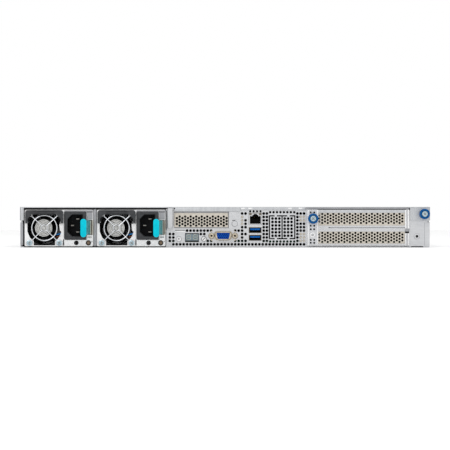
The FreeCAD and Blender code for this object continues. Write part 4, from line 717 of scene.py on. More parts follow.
def buildSupplyCase(index):
    look = supplyCase
    left, right, _, _, low, high = supplies[index]
    rear, sheet, corner = look["rear"], look["sheet"], look["chamfer"]
    fanX = left + supply["fanX"]
    outline = [(left + corner, low), (right - corner, low), (right, low + corner), (right, high - corner),
               (right - corner, high), (left + corner, high), (left, high - corner), (left, low + corner)]
    window = [(-across, rise) for across, rise in look["window"]] + look["window"][::-1]
    cuts = [[(fanX + across, fanZ + rise) for across, rise in window]]
    cuts += [rectangle(left + x0, left + x1, z0, z1) for x0, x1, z0, z1 in look["openings"]]
    bm = bmesh.new()
    addPlate(bm, outline, rear, rear + sheet, [(left + x, z, radius) for x, z, radius in look["holes"]],
             cuts, sides=32)
    # Folded sides, top and bottom of the case behind its face, and the duct behind the fan
    shell = pushedShape([(x, rear + sheet, z) for x, z in outline], (0, look["length"] - rear - sheet, 0))
    mouth = min(shell.faces, key=lambda f: f.calc_center_median().y)
    bmesh.ops.inset_region(shell, faces=[mouth], thickness=sheet, depth=0.0, use_even_offset=True)
    pushFaces(shell, [mouth], (0, look["duct"] - rear - sheet, 0))
    bmesh.ops.delete(shell, geom=[mouth], context="FACES_ONLY")
    merge(bm, shell, 9)
    # Edge card at the front end, with its fingers
    addBox(bm, left + 11.7, left + 61.7, 183.8, 192.8, low + 5, low + 6.6, 0.1, 1, paint=5)
    for finger in range(look["fingers"]):
        x = left + 13.5 + finger * 2.15
        addBox(bm, x, x + 1.3, 185.6, 192.4, low + 6.58, low + 6.66, paint=7)
    # Dark ring and lens of the lamp
    lamp = (left + look["lamp"][0], look["lamp"][1])
    addTurned(bm, *lamp, [(2.8, rear + 0.3), (2.8, rear - 0.15), (2.2, rear - 0.3), (2.0, rear + 0.3)], 28, 1)
    addTurned(bm, *lamp, [(0, rear - 0.1), (1.2, rear - 0.05), (2.05, rear + 0.35), (0, rear + 0.4)], 24, 2)
    # Pin and pale stop of the latch, then the lugs and pins of the handle
    pin = (left + supply["pinX"], supply["pinDepth"])
    addRod(bm, (*pin, low), (*pin, high), 0.98, 16, paint=7)
    addBox(bm, left + 67.2, left + 72.6, 24.5, 26.0, 11.0, 31.0, 0.2, 1, paint=6)
    for lugX in (left + 3.9, left + 37.0):
        addBox(bm, lugX, lugX + 1.5, -4.4, rear, 25.4, 28.6, 0.3, 2, paint=1)
    for pinX in (left + 1.3, left + 37.3):
        addRod(bm, (pinX, *supply["pivot"]), (pinX + 3.6, *supply["pivot"]), 0.78, 14, paint=7)
    # Curved fold between the fan and the inlet, the pale wall beside the latch, and painted shade with a
    # painted shadow line at the top right
    addPlate(bm, [(fanX + across, fanZ + rise) for across, rise in look["fold"]], rear + 0.1, rear + 0.7,
             corner=0.3)
    addBox(bm, left + 72.35, left + 72.8, 1.0, 24, *supply["latch"], paint=6)
    addBox(bm, left + 72.75, right - 0.1, rear - 0.05, rear + 0.1, *supply["latch"], paint=6)
    addBox(bm, left + 66.8, right - 0.6, rear - 0.08, rear + 0.1, 29.9, 37.6, paint=8)
    addBox(bm, left + 66.3, right - 0.4, rear - 0.1, rear + 0.1, 37.6, 38.3, paint=1)
    addBox(bm, left + 42.6, right - 0.4, rear - 0.08, rear + 0.1, 38.3, 39.9, paint=8)
    for rise, paint in look["leads"]:  # leads of the fan across the lower corner of the window
        addWire(bm, [(fanX + 12.6, rear + 0.5, fanZ + rise - 0.9), (fanX + 15.0, rear + 0.3, fanZ + rise),
                     (fanX + 18.4, rear + 0.5, fanZ + rise + 0.5)], 1.0, paint)
    for side in (-1, 1):  # hooks that hold the upper ends of the guard
        addBox(bm, *span(fanX + side * 14.5, 1.6), rear - 0.9, rear + 0.05, 33.2, 36.4, 0.3, 2)
    finishSupplyPiece(bm, index, "case", look, "case")


# Square fan frame with its screw bosses, round bore and four stator vanes
supplyFan = {"bore": 17.4, "flange": 3.5, "barrel": 18.3, "wall": 0.9, "hub": 9.5, "vanes": 4,
             "materials": ["fanBlack"]}


def buildSupplyFan(index):
    look = supplyFan
    x = supplyLeft[index] + supply["fanX"]
    left, right, rear, front = boxMm(f"psu_{index + 1}_fan_frame")[:4]
    half = (right - left) / 2
    bm = bmesh.new()
    outline = around(x, half, fanZ, half)
    corners = [(x + sx * supply["screw"], fanZ + sz * supply["screw"], 1.5) for sx in (-1, 1)
               for sz in (-1, 1)]
    for y0, y1 in ((rear, rear + look["flange"]), (front - look["flange"], front)):
        addPlate(bm, outline, y0, y1, [(x, fanZ, look["bore"])] + corners, corner=1.6, sides=36)
    barrel = bmesh.new()
    bmesh.ops.create_cone(barrel, cap_ends=False, segments=48, radius1=look["barrel"], radius2=look["barrel"],
                          depth=front - rear, matrix=Matrix.Translation((x, (rear + front) / 2, fanZ))
                          @ Matrix.Rotation(math.pi / 2, 4, "X"))
    bmesh.ops.recalc_face_normals(barrel, faces=barrel.faces[:])
    bmesh.ops.solidify(barrel, geom=barrel.faces[:], thickness=look["wall"])
    merge(bm, barrel)
    addRod(bm, (x, front - 3, fanZ), (x, front, fanZ), look["hub"], 32, edge=0.3)
    for vane in range(look["vanes"]):  # each leans back towards the bore
        start, end = math.pi / 4 + vane * math.pi / 2 + 0.3, math.pi / 4 + vane * math.pi / 2
        addRod(bm, (x + 9 * math.cos(start), front - 1.5, fanZ + 9 * math.sin(start)),
               (x + 17.9 * math.cos(end), front - 1.5, fanZ + 17.9 * math.sin(end)), 1.1, 8)
    finishSupplyPiece(bm, index, "fan_frame", look, "fan_frame")


# Guard of bright round wire, its lower eyes under two cross-head screws
guard = {"depth": -0.6, "wire": 1.3, "ring": 13.5, "eye": 3.5, "screwEye": 3.0, "arm": 19.6,
         "materials": ["chromeWire", "shadedPin", "blueZinc"]}


def buildGuard(index):
    look = guard
    x, y, wire, screw = supplyLeft[index] + supply["fanX"], look["depth"], look["wire"], supply["screw"]
    bm = bmesh.new()
    addWireRing(bm, x, y, fanZ, look["ring"], wire * 0.96, 56)
    addWireRing(bm, x, y, fanZ, look["eye"], wire * 0.7, 28)
    for side in (-1, 1):
        low = Vector((side, 0, -1)).normalized()
        high = Vector((side * 14.5, 0, 13.5)).normalized()
        start = Vector((x, y, fanZ))
        end = start + low * (screw * math.sqrt(2) - look["screwEye"])
        addRod(bm, start + low * look["eye"], end, wire * 0.42, 12)
        addWireRing(bm, x + side * screw, y, fanZ - screw, look["screwEye"], wire * 0.8, 24)
        tip = start + high * look["arm"]
        addWire(bm, [start + high * look["eye"], start + high * 15, tip,
                     tip + Vector((side * 0.6, 0.2, 1.4))],
                wire * 0.84)
        addScrew(bm, x + side * screw, y + 0.2, fanZ - screw, 3.25, 1.0, paint=2, turn=0.5 + side * 0.4,
                 recess=1)
    finishSupplyPiece(bm, index, "wire_guard", look, "guard")


# Bail handle of dark plastic, its throat slanted and its edges softened
handle = {"legs": 2.8, "bar": 4.6, "throat": 4.6, "corner": 2.0, "ribs": (3.3, 1.5),
          "materials": ["darkPlastic"]}


def buildHandle(index):
    look = handle
    x0, x1, rear, front, low, high = boxMm(f"psu_{index + 1}_handle")
    legs, bar, throat, corner = look["legs"], look["bar"], look["throat"], look["corner"]
    outline = [(x0, low), (x0, high - corner), (x0 + corner, high), (x1 - corner, high), (x1, high - corner),
               (x1, low), (x1 - legs, low), (x1 - legs, high - bar - throat),
               (x1 - legs - throat, high - bar),
               (x0 + legs + throat, high - bar), (x0 + legs, high - bar - throat), (x0 + legs, low)]
    part = pushedShape([(x, rear, z) for x, z in outline], (0, front - rear, 0))
    roundEdges(part, 0.5, 3)
    bm = bmesh.new()
    merge(bm, part)
    for drop in look["ribs"]:  # grip ribs along the bar
        addBox(bm, x0 + 9, x1 - 9, rear, rear + 0.4, *span(high - drop, 0.2))
    for legX in (x0 + legs / 2, x1 - legs / 2):
        addRod(bm, *((end, *supply["pivot"]) for end in span(legX, 1.35)), 1.28, 20, edge=0.15)
    finishSupplyPiece(bm, index, "handle", look, "handle", "_handle_body")


# Mains inlet on its side, its cavity chamfered towards the fan, with three flat pins
inlet = {"face": 0.2, "halfWide": 8.4, "halfTall": 12, "chamfer": 5.0, "floor": 14.7, "bladeLong": 3.6,
         "bladeThin": 1.5,
         "pins": ((-3.1, 0), (2.6, 7.0), (2.6, -7.0)),  # earth, then live and neutral
         "materials": ["darkPlastic", "deepBlack", "shadedPin", "blackPlastic"]}


def buildInlet(index):
    look = inlet
    x0, x1, rear, back, low, high = boxMm(f"psu_{index + 1}_inlet")
    face, chamfer = look["face"], look["chamfer"]
    middleX, middleZ = (x0 + x1) / 2 - 0.1, (low + high) / 2
    left, right = span(middleX, look["halfWide"])
    bottom, top = span(middleZ, look["halfTall"])
    mouth = [(left + chamfer, bottom), (right, bottom), (right, top), (left + chamfer, top),
             (left, top - chamfer), (left, bottom + chamfer)]
    bm = bmesh.new()
    flange = bmesh.new()
    edges = outlineEdges(flange, rectangle(x0, x1, low, high), rear, 1.2, 4)
    edges += outlineEdges(flange, mouth, rear, 0.6, 3)
    pushFaces(flange, fillBetween(flange, edges), (0, face - rear, 0))
    bmesh.ops.recalc_face_normals(flange, faces=flange.faces[:])
    rims = [e for e in flange.edges if abs(e.verts[0].co.y - rear) < 0.01
            and abs(e.verts[1].co.y - rear) < 0.01
            and len(e.link_faces) == 2 and e.calc_face_angle(0) > 1]
    roundEdges(flange, 0.3, 2, rims)
    merge(bm, flange)
    # Cavity walls and floor, and the moulded body behind the face
    well = pushedShape([(x, look["floor"], z) for x, z in mouth], (0, rear + 0.5 - look["floor"], 0))
    lid = min(well.faces, key=lambda f: f.calc_center_median().y)
    bmesh.ops.delete(well, geom=[lid], context="FACES_ONLY")
    bmesh.ops.recalc_face_normals(well, faces=well.faces[:])
    bmesh.ops.solidify(well, geom=well.faces[:], thickness=0.6)
    merge(bm, well, 3)
    addBox(bm, x0 + 1, x1 - 1, 15.4, back, low + 1, high - 1, 0.4, 2, paint=3)
    for wall in ((x0 + 1, x0 + 2.4, low + 1, high - 1), (x1 - 2.4, x1 - 1, low + 1, high - 1),
                 (x0 + 2.4, x1 - 2.4, low + 1, low + 1.9), (x0 + 2.4, x1 - 2.4, high - 1.9, high - 1)):
        addBox(bm, *wall[:2], face - 0.1, 15.5, *wall[2:], 0.1, 1, paint=3)
    # Pins in the darker pin finish, painted shade deep in the cavity
    for dx, dz in look["pins"]:
        addBox(bm, *span(middleX + dx, look["bladeLong"] / 2), 2.8, 14.9,
               *span(middleZ + dz, look["bladeThin"] / 2), 0.45, 3, paint=2)
    finishSupplyPiece(bm, index, "inlet", look, "inlet")


# Release latch: ribbed turquoise tab on a bent arm in painted shade, whose end by the pin is pale
latch = {"ribs": 6, "tab": (2.1, 8.3), "armOut": 71.4, "armIn": 69.4, "armLow": 13.9, "armHigh": 28.9,
         "armEnd": 23.8, "materials": ["cyanPlastic", "tealPlastic", "palePlastic"]}


def buildLatch(index):
    look = latch
    left = supplyLeft[index]
    boxLeft, _, tip, _, low, high = boxMm(f"psu_{index + 1}_latch")
    tabLeft, tabRight = (boxLeft + place for place in look["tab"])
    armOut, armIn = left + look["armOut"], left + look["armIn"]
    armLow, armHigh = look["armLow"], look["armHigh"]
    bm = bmesh.new()
    tab = bmesh.new()
    bmesh.ops.create_cube(tab, size=1.0)
    bmesh.ops.scale(tab, vec=(tabRight - tabLeft, 2.4, high - low), verts=tab.verts[:])
    bmesh.ops.translate(tab, vec=((tabLeft + tabRight) / 2, tip + 1.5, (low + high) / 2), verts=tab.verts[:])
    upright = [e for e in tab.edges if abs(e.verts[0].co.y - e.verts[1].co.y) > 1]
    roundEdges(tab, 2.9, 6, upright)
    roundEdges(tab, 0.3, 2, [e for e in tab.edges if e.calc_face_angle(0) > 1])
    merge(bm, tab)
    for rib in range(look["ribs"]):
        x = tabLeft + 1.2 + rib * (tabRight - tabLeft - 2.4) / (look["ribs"] - 1)
        addRod(bm, (x, tip + 0.45, low + 2), (x, tip + 0.45, high - 2), 0.3, 8, edge=0.1)
    outline = [(tabRight - 0.6, tip + 0.6), (tabRight + 0.8, tip + 1.2), (armOut, 0.8),
               (armOut, look["armEnd"]), (armIn, look["armEnd"]), (armIn, 1.2), (tabRight - 0.8, tip + 3.2)]
    for paint, side in ((1, -1), (2, 1)):  # turquoise web in painted shade, and its pale end by the arm
        web = pushedShape([(x, y, armLow) for x, y in outline], (0, 0, armHigh - armLow))
        cutAway(web, (armOut - 0.8, 0, 0), (-side, 0, 0))
        merge(bm, web, paint)
    pin = (left + supply["pinX"], supply["pinDepth"])
    for z0, z1 in ((armLow, armLow + 3), (armHigh - 3, armHigh)):
        addRod(bm, (*pin, z0), (*pin, z1), 1.85, 24, edge=0.2, paint=1)
    finishSupplyPiece(bm, index, "release_latch", look, "latch", "_latch_body")


for index in range(2):
    buildSupplyCase(index)
    buildSupplyFan(index)
    buildGuard(index)
    buildHandle(index)
    buildInlet(index)
    buildLatch(index)
    buildRotor(f"psu_{index + 1}_rotor", f"psu_{index + 1}_rotor_body", f"supply_{index + 1}_fan_rotor")
print("power supplies ready")


# Video socket: plated flange and D-shaped shell, blue insert with fifteen pin holes, hex jacks
videoSocket = {"flange": (31.0, 11.4), "shell": (18.2, 8.9), "insert": (14.4, 6.6), "taper": 1.6,
               "pinRadius": 0.55, "pinPitch": 2.2, "pinRow": 1.8, "jackWasher": 3.3, "jackBore": 0.99,
               "materials": ["portMetal", "videoBlue", "deepBlack", "zincSteel", "blackPlastic",
                             "shellSteel"]}


def doorShape(width, height, taper):
    # Outline of the video socket, wide side up
    x, z = videoPlace
    return [(x - width / 2, z + height / 2), (x - width / 2 + taper, z - height / 2),
            (x + width / 2 - taper, z - height / 2), (x + width / 2, z + height / 2)]


def buildVideoSocket():
    look = videoSocket
    x, z = videoPlace
    bm = bmesh.new()
    wide, tall = look["flange"]
    holes = [(x + side * jackReach, z, 1.5) for side in (-1, 1)]
    addPlate(bm, around(x, wide / 2, z, tall / 2), 1.05, 1.9, holes, [doorShape(16.6, 8.2, 1.5)],
             corner=5.0, sides=18)
    wide, tall = look["shell"]
    outer, inner = doorShape(wide - 1.2, tall - 1.2, look["taper"]), doorShape(14.7, 6.9, 1.3)
    addPlate(bm, outer, -5.6, 1.5, cuts=[inner], corner=3.2, cutCorner=1.2)
    addPlate(bm, doorShape(wide, tall, look["taper"]), -5.2, 1.4, cuts=[inner], corner=3.6, cutCorner=1.2)
    addPlate(bm, doorShape(wide + 1.0, tall + 0.8, 1.75), -0.35, 0.6, cuts=[outer], corner=4.2,
             cutCorner=3.2, paint=5)
    wide, tall = look["insert"]
    pins = [(x + (column - 2) * look["pinPitch"] + shift, z + row * look["pinRow"], look["pinRadius"])
            for row, shift in ((1, -0.55), (0, 0.55), (-1, -0.55)) for column in range(5)]
    addPlate(bm, doorShape(wide, tall, 1.2), -5.0, -0.5, pins, corner=1.7, sides=10, paint=1)
    # Painted shadow behind the insert's pin holes
    addBox(bm, *span(x, 7), -0.5, 0.4, *span(z, 3.6), paint=2)
    addBox(bm, *span(x, 15.4), 2.0, 14, 6.9, z + 5.6, 0.4, 2, paint=4)
    for side in (-1, 1):
        jackX = x + side * jackReach
        addRod(bm, (jackX, -0.2, z), (jackX, 1.2, z), look["jackWasher"], 26, edge=0.25)
        addWireRing(bm, jackX, -0.2, z, 3.2, 0.35, 30, 6, paint=5)
        addTurned(bm, jackX, z, [(1.0, 0.2), (1.0, -3.9), (1.4, -4.3), (2.15, -4.3), (2.6, -3.8),
                                 (2.6, 0.2)], 18)
        # Painted shadow inside the jack's bore
        addRod(bm, (jackX, -3.2, z), (jackX, 0.2, z), look["jackBore"], 16, paint=2)
    finishPiece(bm, "video_socket", look, "vga_port")


# Network socket: plated can round a black cavity with eight spring contacts and two lamp corners
networkSocket = {"low": 24.6, "high": 37.0, "halfCan": 6.9, "length": 22, "contacts": 8, "contactPitch": 1.02,
                 # Right half of the mouth, from its lower corner up to the key: X from the middle, and rise
                 "mouth": [(5.85, 0.7), (5.85, 8.9), (3.1, 8.9), (3.1, 10.3), (1.7, 10.3), (1.7, 11.3)],
                 "materials": ["shellSteel", "blackPlastic", "goldContact", "palePlastic", "zincSteel"]}


def buildNetworkSocket():
    look = networkSocket
    x, floor = middleOf("lan_port")[0], boxMm("lan_port")[4]
    low, high, length, half = look["low"], look["high"], look["length"], look["halfCan"]
    mouthHigh = low + 8.9
    mouth = [(x + across, low + rise) for across, rise in look["mouth"]]
    mouth += [(x - across, low + rise) for across, rise in look["mouth"][::-1]]
    bm = bmesh.new()
    addPlate(bm, rectangle(*span(x, half), low, high), 0.2, 1.0, cuts=[mouth], corner=0.4, paint=4)
    addBox(bm, *span(x, half), 0.1, 0.5, high - 0.6, high - 0.1, 0.1, 1)
    addPlate(bm, rectangle(*span(x, 6.7), low + 0.2, high - 0.2), 1.0, 14, cuts=[mouth], paint=1)
    addBox(bm, *span(x, 8), 1.2, length, high - 0.3, high + 0.6, 0.2, 1)
    for side in (-1, 1):
        addBox(bm, *span(x + side * 7.35, 0.65), 1.2, length, floor, high + 0.2, 0.15, 1)
        addBox(bm, *span(x + side * 5.2, 1.3), 0.05, 0.4, high - 2.6, high - 0.6, 0.2, 2)
    addBox(bm, *span(x, 6.7), 14, length - 0.2, floor + 0.2, high - 0.2, 0.3, 1, paint=1)
    for contact in range(look["contacts"]):
        contactX = x + (contact - 3.5) * look["contactPitch"]
        addRod(bm, (contactX, 7.0, mouthHigh - 0.8), (contactX, 12.5, mouthHigh - 3.2), 0.22, 6, paint=2)
    finishPiece(bm, "network_socket", look, "lan_port")


# Two stacked sockets: plated shells with flared lips, each round a blue tongue
dataSocket = {"halfWide": 6.55, "halfTall": 2.9, "sheet": 0.3, "length": 12, "springs": (-3.2, 3.2),
              "contactPitch": 2.2, "materials": ["shellSteel", "portBlue", "deepBlack", "goldContact"]}


def buildDataSockets():
    look = dataSocket
    x = middleOf("usb_ports")[0]
    wide, tall, sheet, length = look["halfWide"], look["halfTall"], look["sheet"], look["length"]
    bm = bmesh.new()
    for z in dataLevels:
        addPlate(bm, around(x, wide, z, tall), -0.4, length,
                 cuts=[around(x, wide - sheet, z, tall - sheet)], corner=0.7, cutCorner=0.4)
        # Dark liner and back wall inside each socket: painted shadow
        addPlate(bm, around(x, 6.3, z, 2.65), 0.6, 9.2, cuts=[around(x, 5.75, z, 2.1)], paint=2)
        addBox(bm, *span(x, 6.1), 9, length, *span(z, 2.5), paint=2)
        addBox(bm, *span(x, 5.3), 0.5, 9.2, z + 0.1, z + 2.0, 0.25, 2, paint=1)
        for spring in look["springs"]:
            addBox(bm, *span(x + spring, 0.9), 0.9, 6.0, z - 2.35, z - 2.1, 0.1, 1)
        for contact in range(4):
            addBox(bm, *span(x + (contact - 1.5) * look["contactPitch"], 0.5), 4.6, 8, z + 0.04, z + 0.14,
                   paint=3)
    addBox(bm, *span(x, 7.2), length, 20, 6.9, 22.0, 0.3, 2)
    for side in (-1, 1):
        addBox(bm, *span(x + side * 6.9, 0.3), 1.2, length, 6.9, 22.0, 0.1, 1)
    finishPiece(bm, "usb_sockets", look, "usb_ports")


# Two-digit display: tinted window in a dark bezel, each digit of seven unlit segments
display = {"digitWidth": 4.1, "digitHeight": 5.2, "bar": 1.1, "gap": 0.08, "pitch": 7.1, "sill": 0.9,
           "rim": 0.35, "materials": ["windowPlastic", "segmentPlastic", "darkPlastic", "palePlastic"]}


def buildDisplay():
    look = display
    x0, x1, rear, front, low, high = boxMm("status_display")
    sill, rim = low + look["sill"], look["rim"]
    bm = bmesh.new()
    addBox(bm, x0 + 0.3, x1 - 0.3, rear + 0.25, 1.4, sill, high - 0.3, 0.15, 1)
    addPlate(bm, rectangle(x0, x1, low, high), rear, 1.4,
             cuts=[rectangle(x0 + rim, x1 - rim, sill, high - rim)], corner=0.3, paint=2)
    addBox(bm, x0, x1, 1.4, front, 6.85, high, 0.3, 1, paint=3)
    middle, z = (x0 + x1) / 2, (sill + high) / 2
    wide, tall, bar, gap = look["digitWidth"], look["digitHeight"], look["bar"] / 2, look["gap"]
    face = rear + 0.13
    for digit in (-0.5, 0.5):
        digitX = middle + digit * look["pitch"]
        for rise in (-0.5, 0, 0.5):  # lying bars, then the upright ones
            addBox(bm, digitX - wide / 2 + gap, digitX + wide / 2 - gap, face, face + 0.2,
                   *span(z + rise * tall, bar), paint=1)
        for side in (-1, 1):
            for rise in (-0.25, 0.25):
                addBox(bm, *span(digitX + side * wide / 2, bar), face, face + 0.2,
                       *span(z + rise * tall, tall / 4 - gap), paint=1)
    finishPiece(bm, "two_digit_display", look, "status_display")


# Small plated push buttons, dished, the first with a pip and the second with a slot
rearButton = {"radius": 2.85, "dish": 1.7, "slot": 1.1, "pip": 0.7,
              "materials": ["brightSteel", "darkPlastic", "shadedSteel"]}


def buildRearButton(node, body, name, slotted):
    look = rearButton
    x, z = middleOf(node)
    rear, front = boxMm(node)[2:4]
    radius, dish = look["radius"], look["dish"]
    bm = bmesh.new()
    addTurned(bm, x, z, [(0, rear + 0.45), (dish, rear + 0.4), (dish + 0.2, rear + 0.1), (dish + 0.5, rear),
                         (radius - 0.25, rear), (radius, rear + 0.25), (radius, front), (0, front)], 36)
    if slotted:
        middle, reach = Vector((x, rear + 0.35, z)), Vector((look["slot"], 0, look["slot"]))
        addRod(bm, middle - reach, middle + reach, 0.3, 8, paint=1)
        # Painted shade: a dark ring for the shaded gap round the button
        addWireRing(bm, x, rear + 0.02, z, 2.55, 0.42, 36, 8, paint=1)
    else:
        addRod(bm, (x, rear + 0.1, z), (x, rear + 0.5, z), look["pip"], 16, edge=0.1, paint=1)
        # Painted shade: a ring for the shaded gap round the button
        addWireRing(bm, x, rear + 0.2, z, 2.62, 0.5, 36, 8, paint=2)
    finishPiece(bm, name, look, node, body)


# Walls and floor of the body: floor with posts, stepped side walls, and the rolled bar at the rear left
body = {"sheet": 1, "stepLow": 26.8, "stepHigh": 28.3, "studDepths": (60, 240, 420, 600, 780), "studZ": 14.0,
        "postPlaces": [(x, depth) for x in (-195, 0, 195) for depth in (218.1, 525)],
        "materials": ["zincSteel", "chromeWire", "deepBlack", "shadedSteel"]}


def buildBody():
    look = body
    x0, x1, rear, front, _, high = boxMm("chassis_base")
    sheet, stepLow, stepHigh = look["sheet"], look["stepLow"], look["stepHigh"]
    bm = bmesh.new()
    addBox(bm, x0, x1, 1, front, 0, sheet, 0.35, 2)
    wall = [(x1, 1), (x1, stepLow), (x1 - 1, stepHigh), (x1 - 1, high), (x1 - 2, high), (x1 - 2, stepHigh),
            (x1 - 1, stepLow), (x1 - 1, 1)]
    for side in (-1, 1):
        addPlate(bm, [(side * x, z) for x, z in wall], 1, front)
        for depth in look["studDepths"]:  # rail studs, low on the side walls
            stud = [(side * (x1 + proud), depth, look["studZ"]) for proud in (-0.2, 0.25, 0.2, 0.3)]
            addRod(bm, *stud[:2], 3.6, 24, tip=3.2)
            addRod(bm, *stud[2:], 1.2, 12, paint=1)
    # Rolled bar at the rear left, in painted shade
    addBox(bm, x0, x0 + 3.2, rear, 1.5, 2, stepLow, 0.9, 4, paint=3)
    addBox(bm, x0 + 0.1, x0 + 2.8, rear + 0.2, 1.4, 26.3, 28.0, 0.5, 2)
    # Shaded edge of the floor under the supplies
    addBox(bm, supplyLeft[0] - 0.4, supplies[1][1], 0.6, 1, 0.1, 0.9, paint=2)
    for x, depth in look["postPlaces"]:
        addRod(bm, (x, depth, 0.5), (x, depth, 5.2), 3.0, 6, edge=0.2)
        addRod(bm, (x, depth, 6.7), (x, depth, 8.2), 2.6, 20, edge=0.3, paint=1)
    finishPiece(bm, "folded_body", look, "chassis_base")


# Lid and front cover: skin with shallow stampings, side runners, rear flanges
cover = {
    "stampDepth": 0.45, "skin": 1.0, "runner": 1.0, "hooks": (90, 320, 560), "flangeFront": -0.3,
    # X and depth from and to of each stamping
    "lidStamps": [(-190, -30, 30, 34), (30, 190, 30, 34), (-190, -30, 600, 604), (30, 190, 600, 604),
                  (-205, -160, 330, 334), (160, 205, 330, 334), (-28, 28, 565, 590)],
    "frontStamps": [(-200, -20, 660, 664), (20, 200, 660, 664), (-60, 60, 800, 830)],
    # Rear flange over the sockets, the network socket and the riser: X from and to, drop and finish; the
    # flange over the riser is in painted shade
    "flanges": [(-53.6, 16.5, 4.8, 0), (16.5, 86.3, 3.2, 0), (86.3, 198.25, 2.2, 3)],
    "pips": (19.2, 27.0, 69.7, 80.9), "rivets": (665, 740, 825),
    "materials": ["coverSteel", "brightSteel", "zincSteel", "shadedSteel", "deepBlack"],
}


def addSkin(bm, box, stamps):
    # Lower layer whole, upper layer pierced where the skin is stamped down, and a runner along each side
    look = cover
    x0, x1, y0, y1, low, high = box
    under, middle = high - look["skin"], high - look["stampDepth"]
    addBox(bm, x0, x1, y0, y1, under, middle)
    turned = Matrix.Translation((0, 0, middle)) @ Matrix.Rotation(-math.pi / 2, 4, "X")
    addPlate(bm, rectangle(x0, x1, y0, y1), 0, -look["stampDepth"],
             cuts=[rectangle(*stamp) for stamp in stamps], cutCorner=1.8, matrix=turned)
    for side in (-1, 1):
        ends = sorted((side * x1, side * (x1 - look["runner"])))
        addBox(bm, *ends, y0, y1, low, under, 0.2, 1)


def buildCovers():
    look = cover
    box = boxMm("top_cover")
    x0, x1, rear, _, low, high = box
    top, flange = high - look["skin"] + 0.2, look["flangeFront"]
    bm = bmesh.new()
    addSkin(bm, box, look["lidStamps"])
    for side in (-1, 1):
        inner = side * (x1 - look["runner"])
        for hook in look["hooks"]:  # hooks that slide under the body's pins
            addBox(bm, *sorted((inner, inner - side * 0.8)), hook, hook + 22, low + 1, low + 5, 0.2, 1,
                   paint=2)
    addBox(bm, x0, x0 + 4.2, rear, flange, low, top, 0.35, 2)
    for left, right, drop, paint in look["flanges"]:
        addBox(bm, left, right, rear, flange, high - drop, top, 0.3, 2, paint)
    # Shaded fold of the flange over the riser
    addBox(bm, left + 0.4, right - 0.3, rear - 0.02, rear + 0.3, top - 0.2, high - 0.3, paint=3)
    # Painted shadow in the gap between the flange and the screw's tab
    addBox(bm, right - 0.9, right + 0.1, rear - 0.04, flange, high - 3.2, high - 1.0, 0.1, 1, paint=4)
    hole = (*middleOf("thumbscrew_cover"), 2.1)
    addPlate(bm, rectangle(right, x1 - 1, low, top), rear, flange, [hole], corner=0.8)  # tab of the screw
    for pipX in look["pips"]:  # raised pips along the network flange, painted bright as highlights
        addBox(bm, *span(pipX, 2.0), rear - 0.3, rear + 0.3, high - 2.5, high - 0.9, 0.28, 3, paint=1)
    finishPiece(bm, "folded_lid", look, "top_cover", "cover")
    bm = bmesh.new()
    box = boxMm("front_cover")
    addSkin(bm, box, look["frontStamps"])
    for side in (-1, 1):
        x, high = side * (box[1] - 9), box[5]
        for depth in look["rivets"]:
            addRod(bm, (x, depth, high - 0.5), (x, depth, high - 0.02), 3.2, 24, tip=2.9, paint=1)
    finishPiece(bm, "fixed_front_cover", look, "front_cover")


# Walls of the supply bays with the rounded bar between the two supplies, the bar in painted shade
bayWall = {"bar": 1.7, "foot": 9, "rivets": (20, 80, 150),
           "materials": ["zincSteel", "chromeWire", "shadedSteel"]}


def buildBayWalls():
    look = bayWall
    _, _, rear, length, _, high = boxMm("psu_bay_walls")
    middle = (supplies[0][1] + supplyLeft[1]) / 2
    bm = bmesh.new()
    addBox(bm, *span(middle, 0.5), 0.5, length, 1, high, 0.1, 1)
    # The bar between the supplies, in painted shade
    addBox(bm, *span(middle, look["bar"]), rear, 1, 1.3, high, 0.85, 4, paint=2)
    addBox(bm, panelLeft, panelLeft + 0.8, 1, length, 1, high, 0.1, 1)
    addBox(bm, panelLeft, panelLeft + look["foot"], 1, length, 1, 2, 0.1, 1)
    for depth in look["rivets"]:
        addRod(bm, (panelLeft + 5, depth, 2), (panelLeft + 5, depth, 2.7), 2.0, 18, tip=1.6, paint=1)
    finishPiece(bm, "supply_bay_walls", look, "psu_bay_walls")


buildVideoSocket()
buildNetworkSocket()
buildDataSockets()
buildDisplay()
buildRearButton("identify_button_rear", "identify_rear", "identify_push_button", False)
buildRearButton("reset_button_rear", "reset_rear", "reset_push_button", True)
buildBody()
buildCovers()
buildBayWalls()
print("ports, covers and body ready")


# Places inside the case that several pieces share
processorX = 105.0  # from the middle to each processor
bayPlaces = [(n - 1.5) * 107.2 for n in range(4)]
bayMiddle = 16.0
fanPlaces = [(n - 2.5) * 70.0 for n in range(6)]
vaneDepth, hubDepths = 600, (588.2, 606, 612, 613)

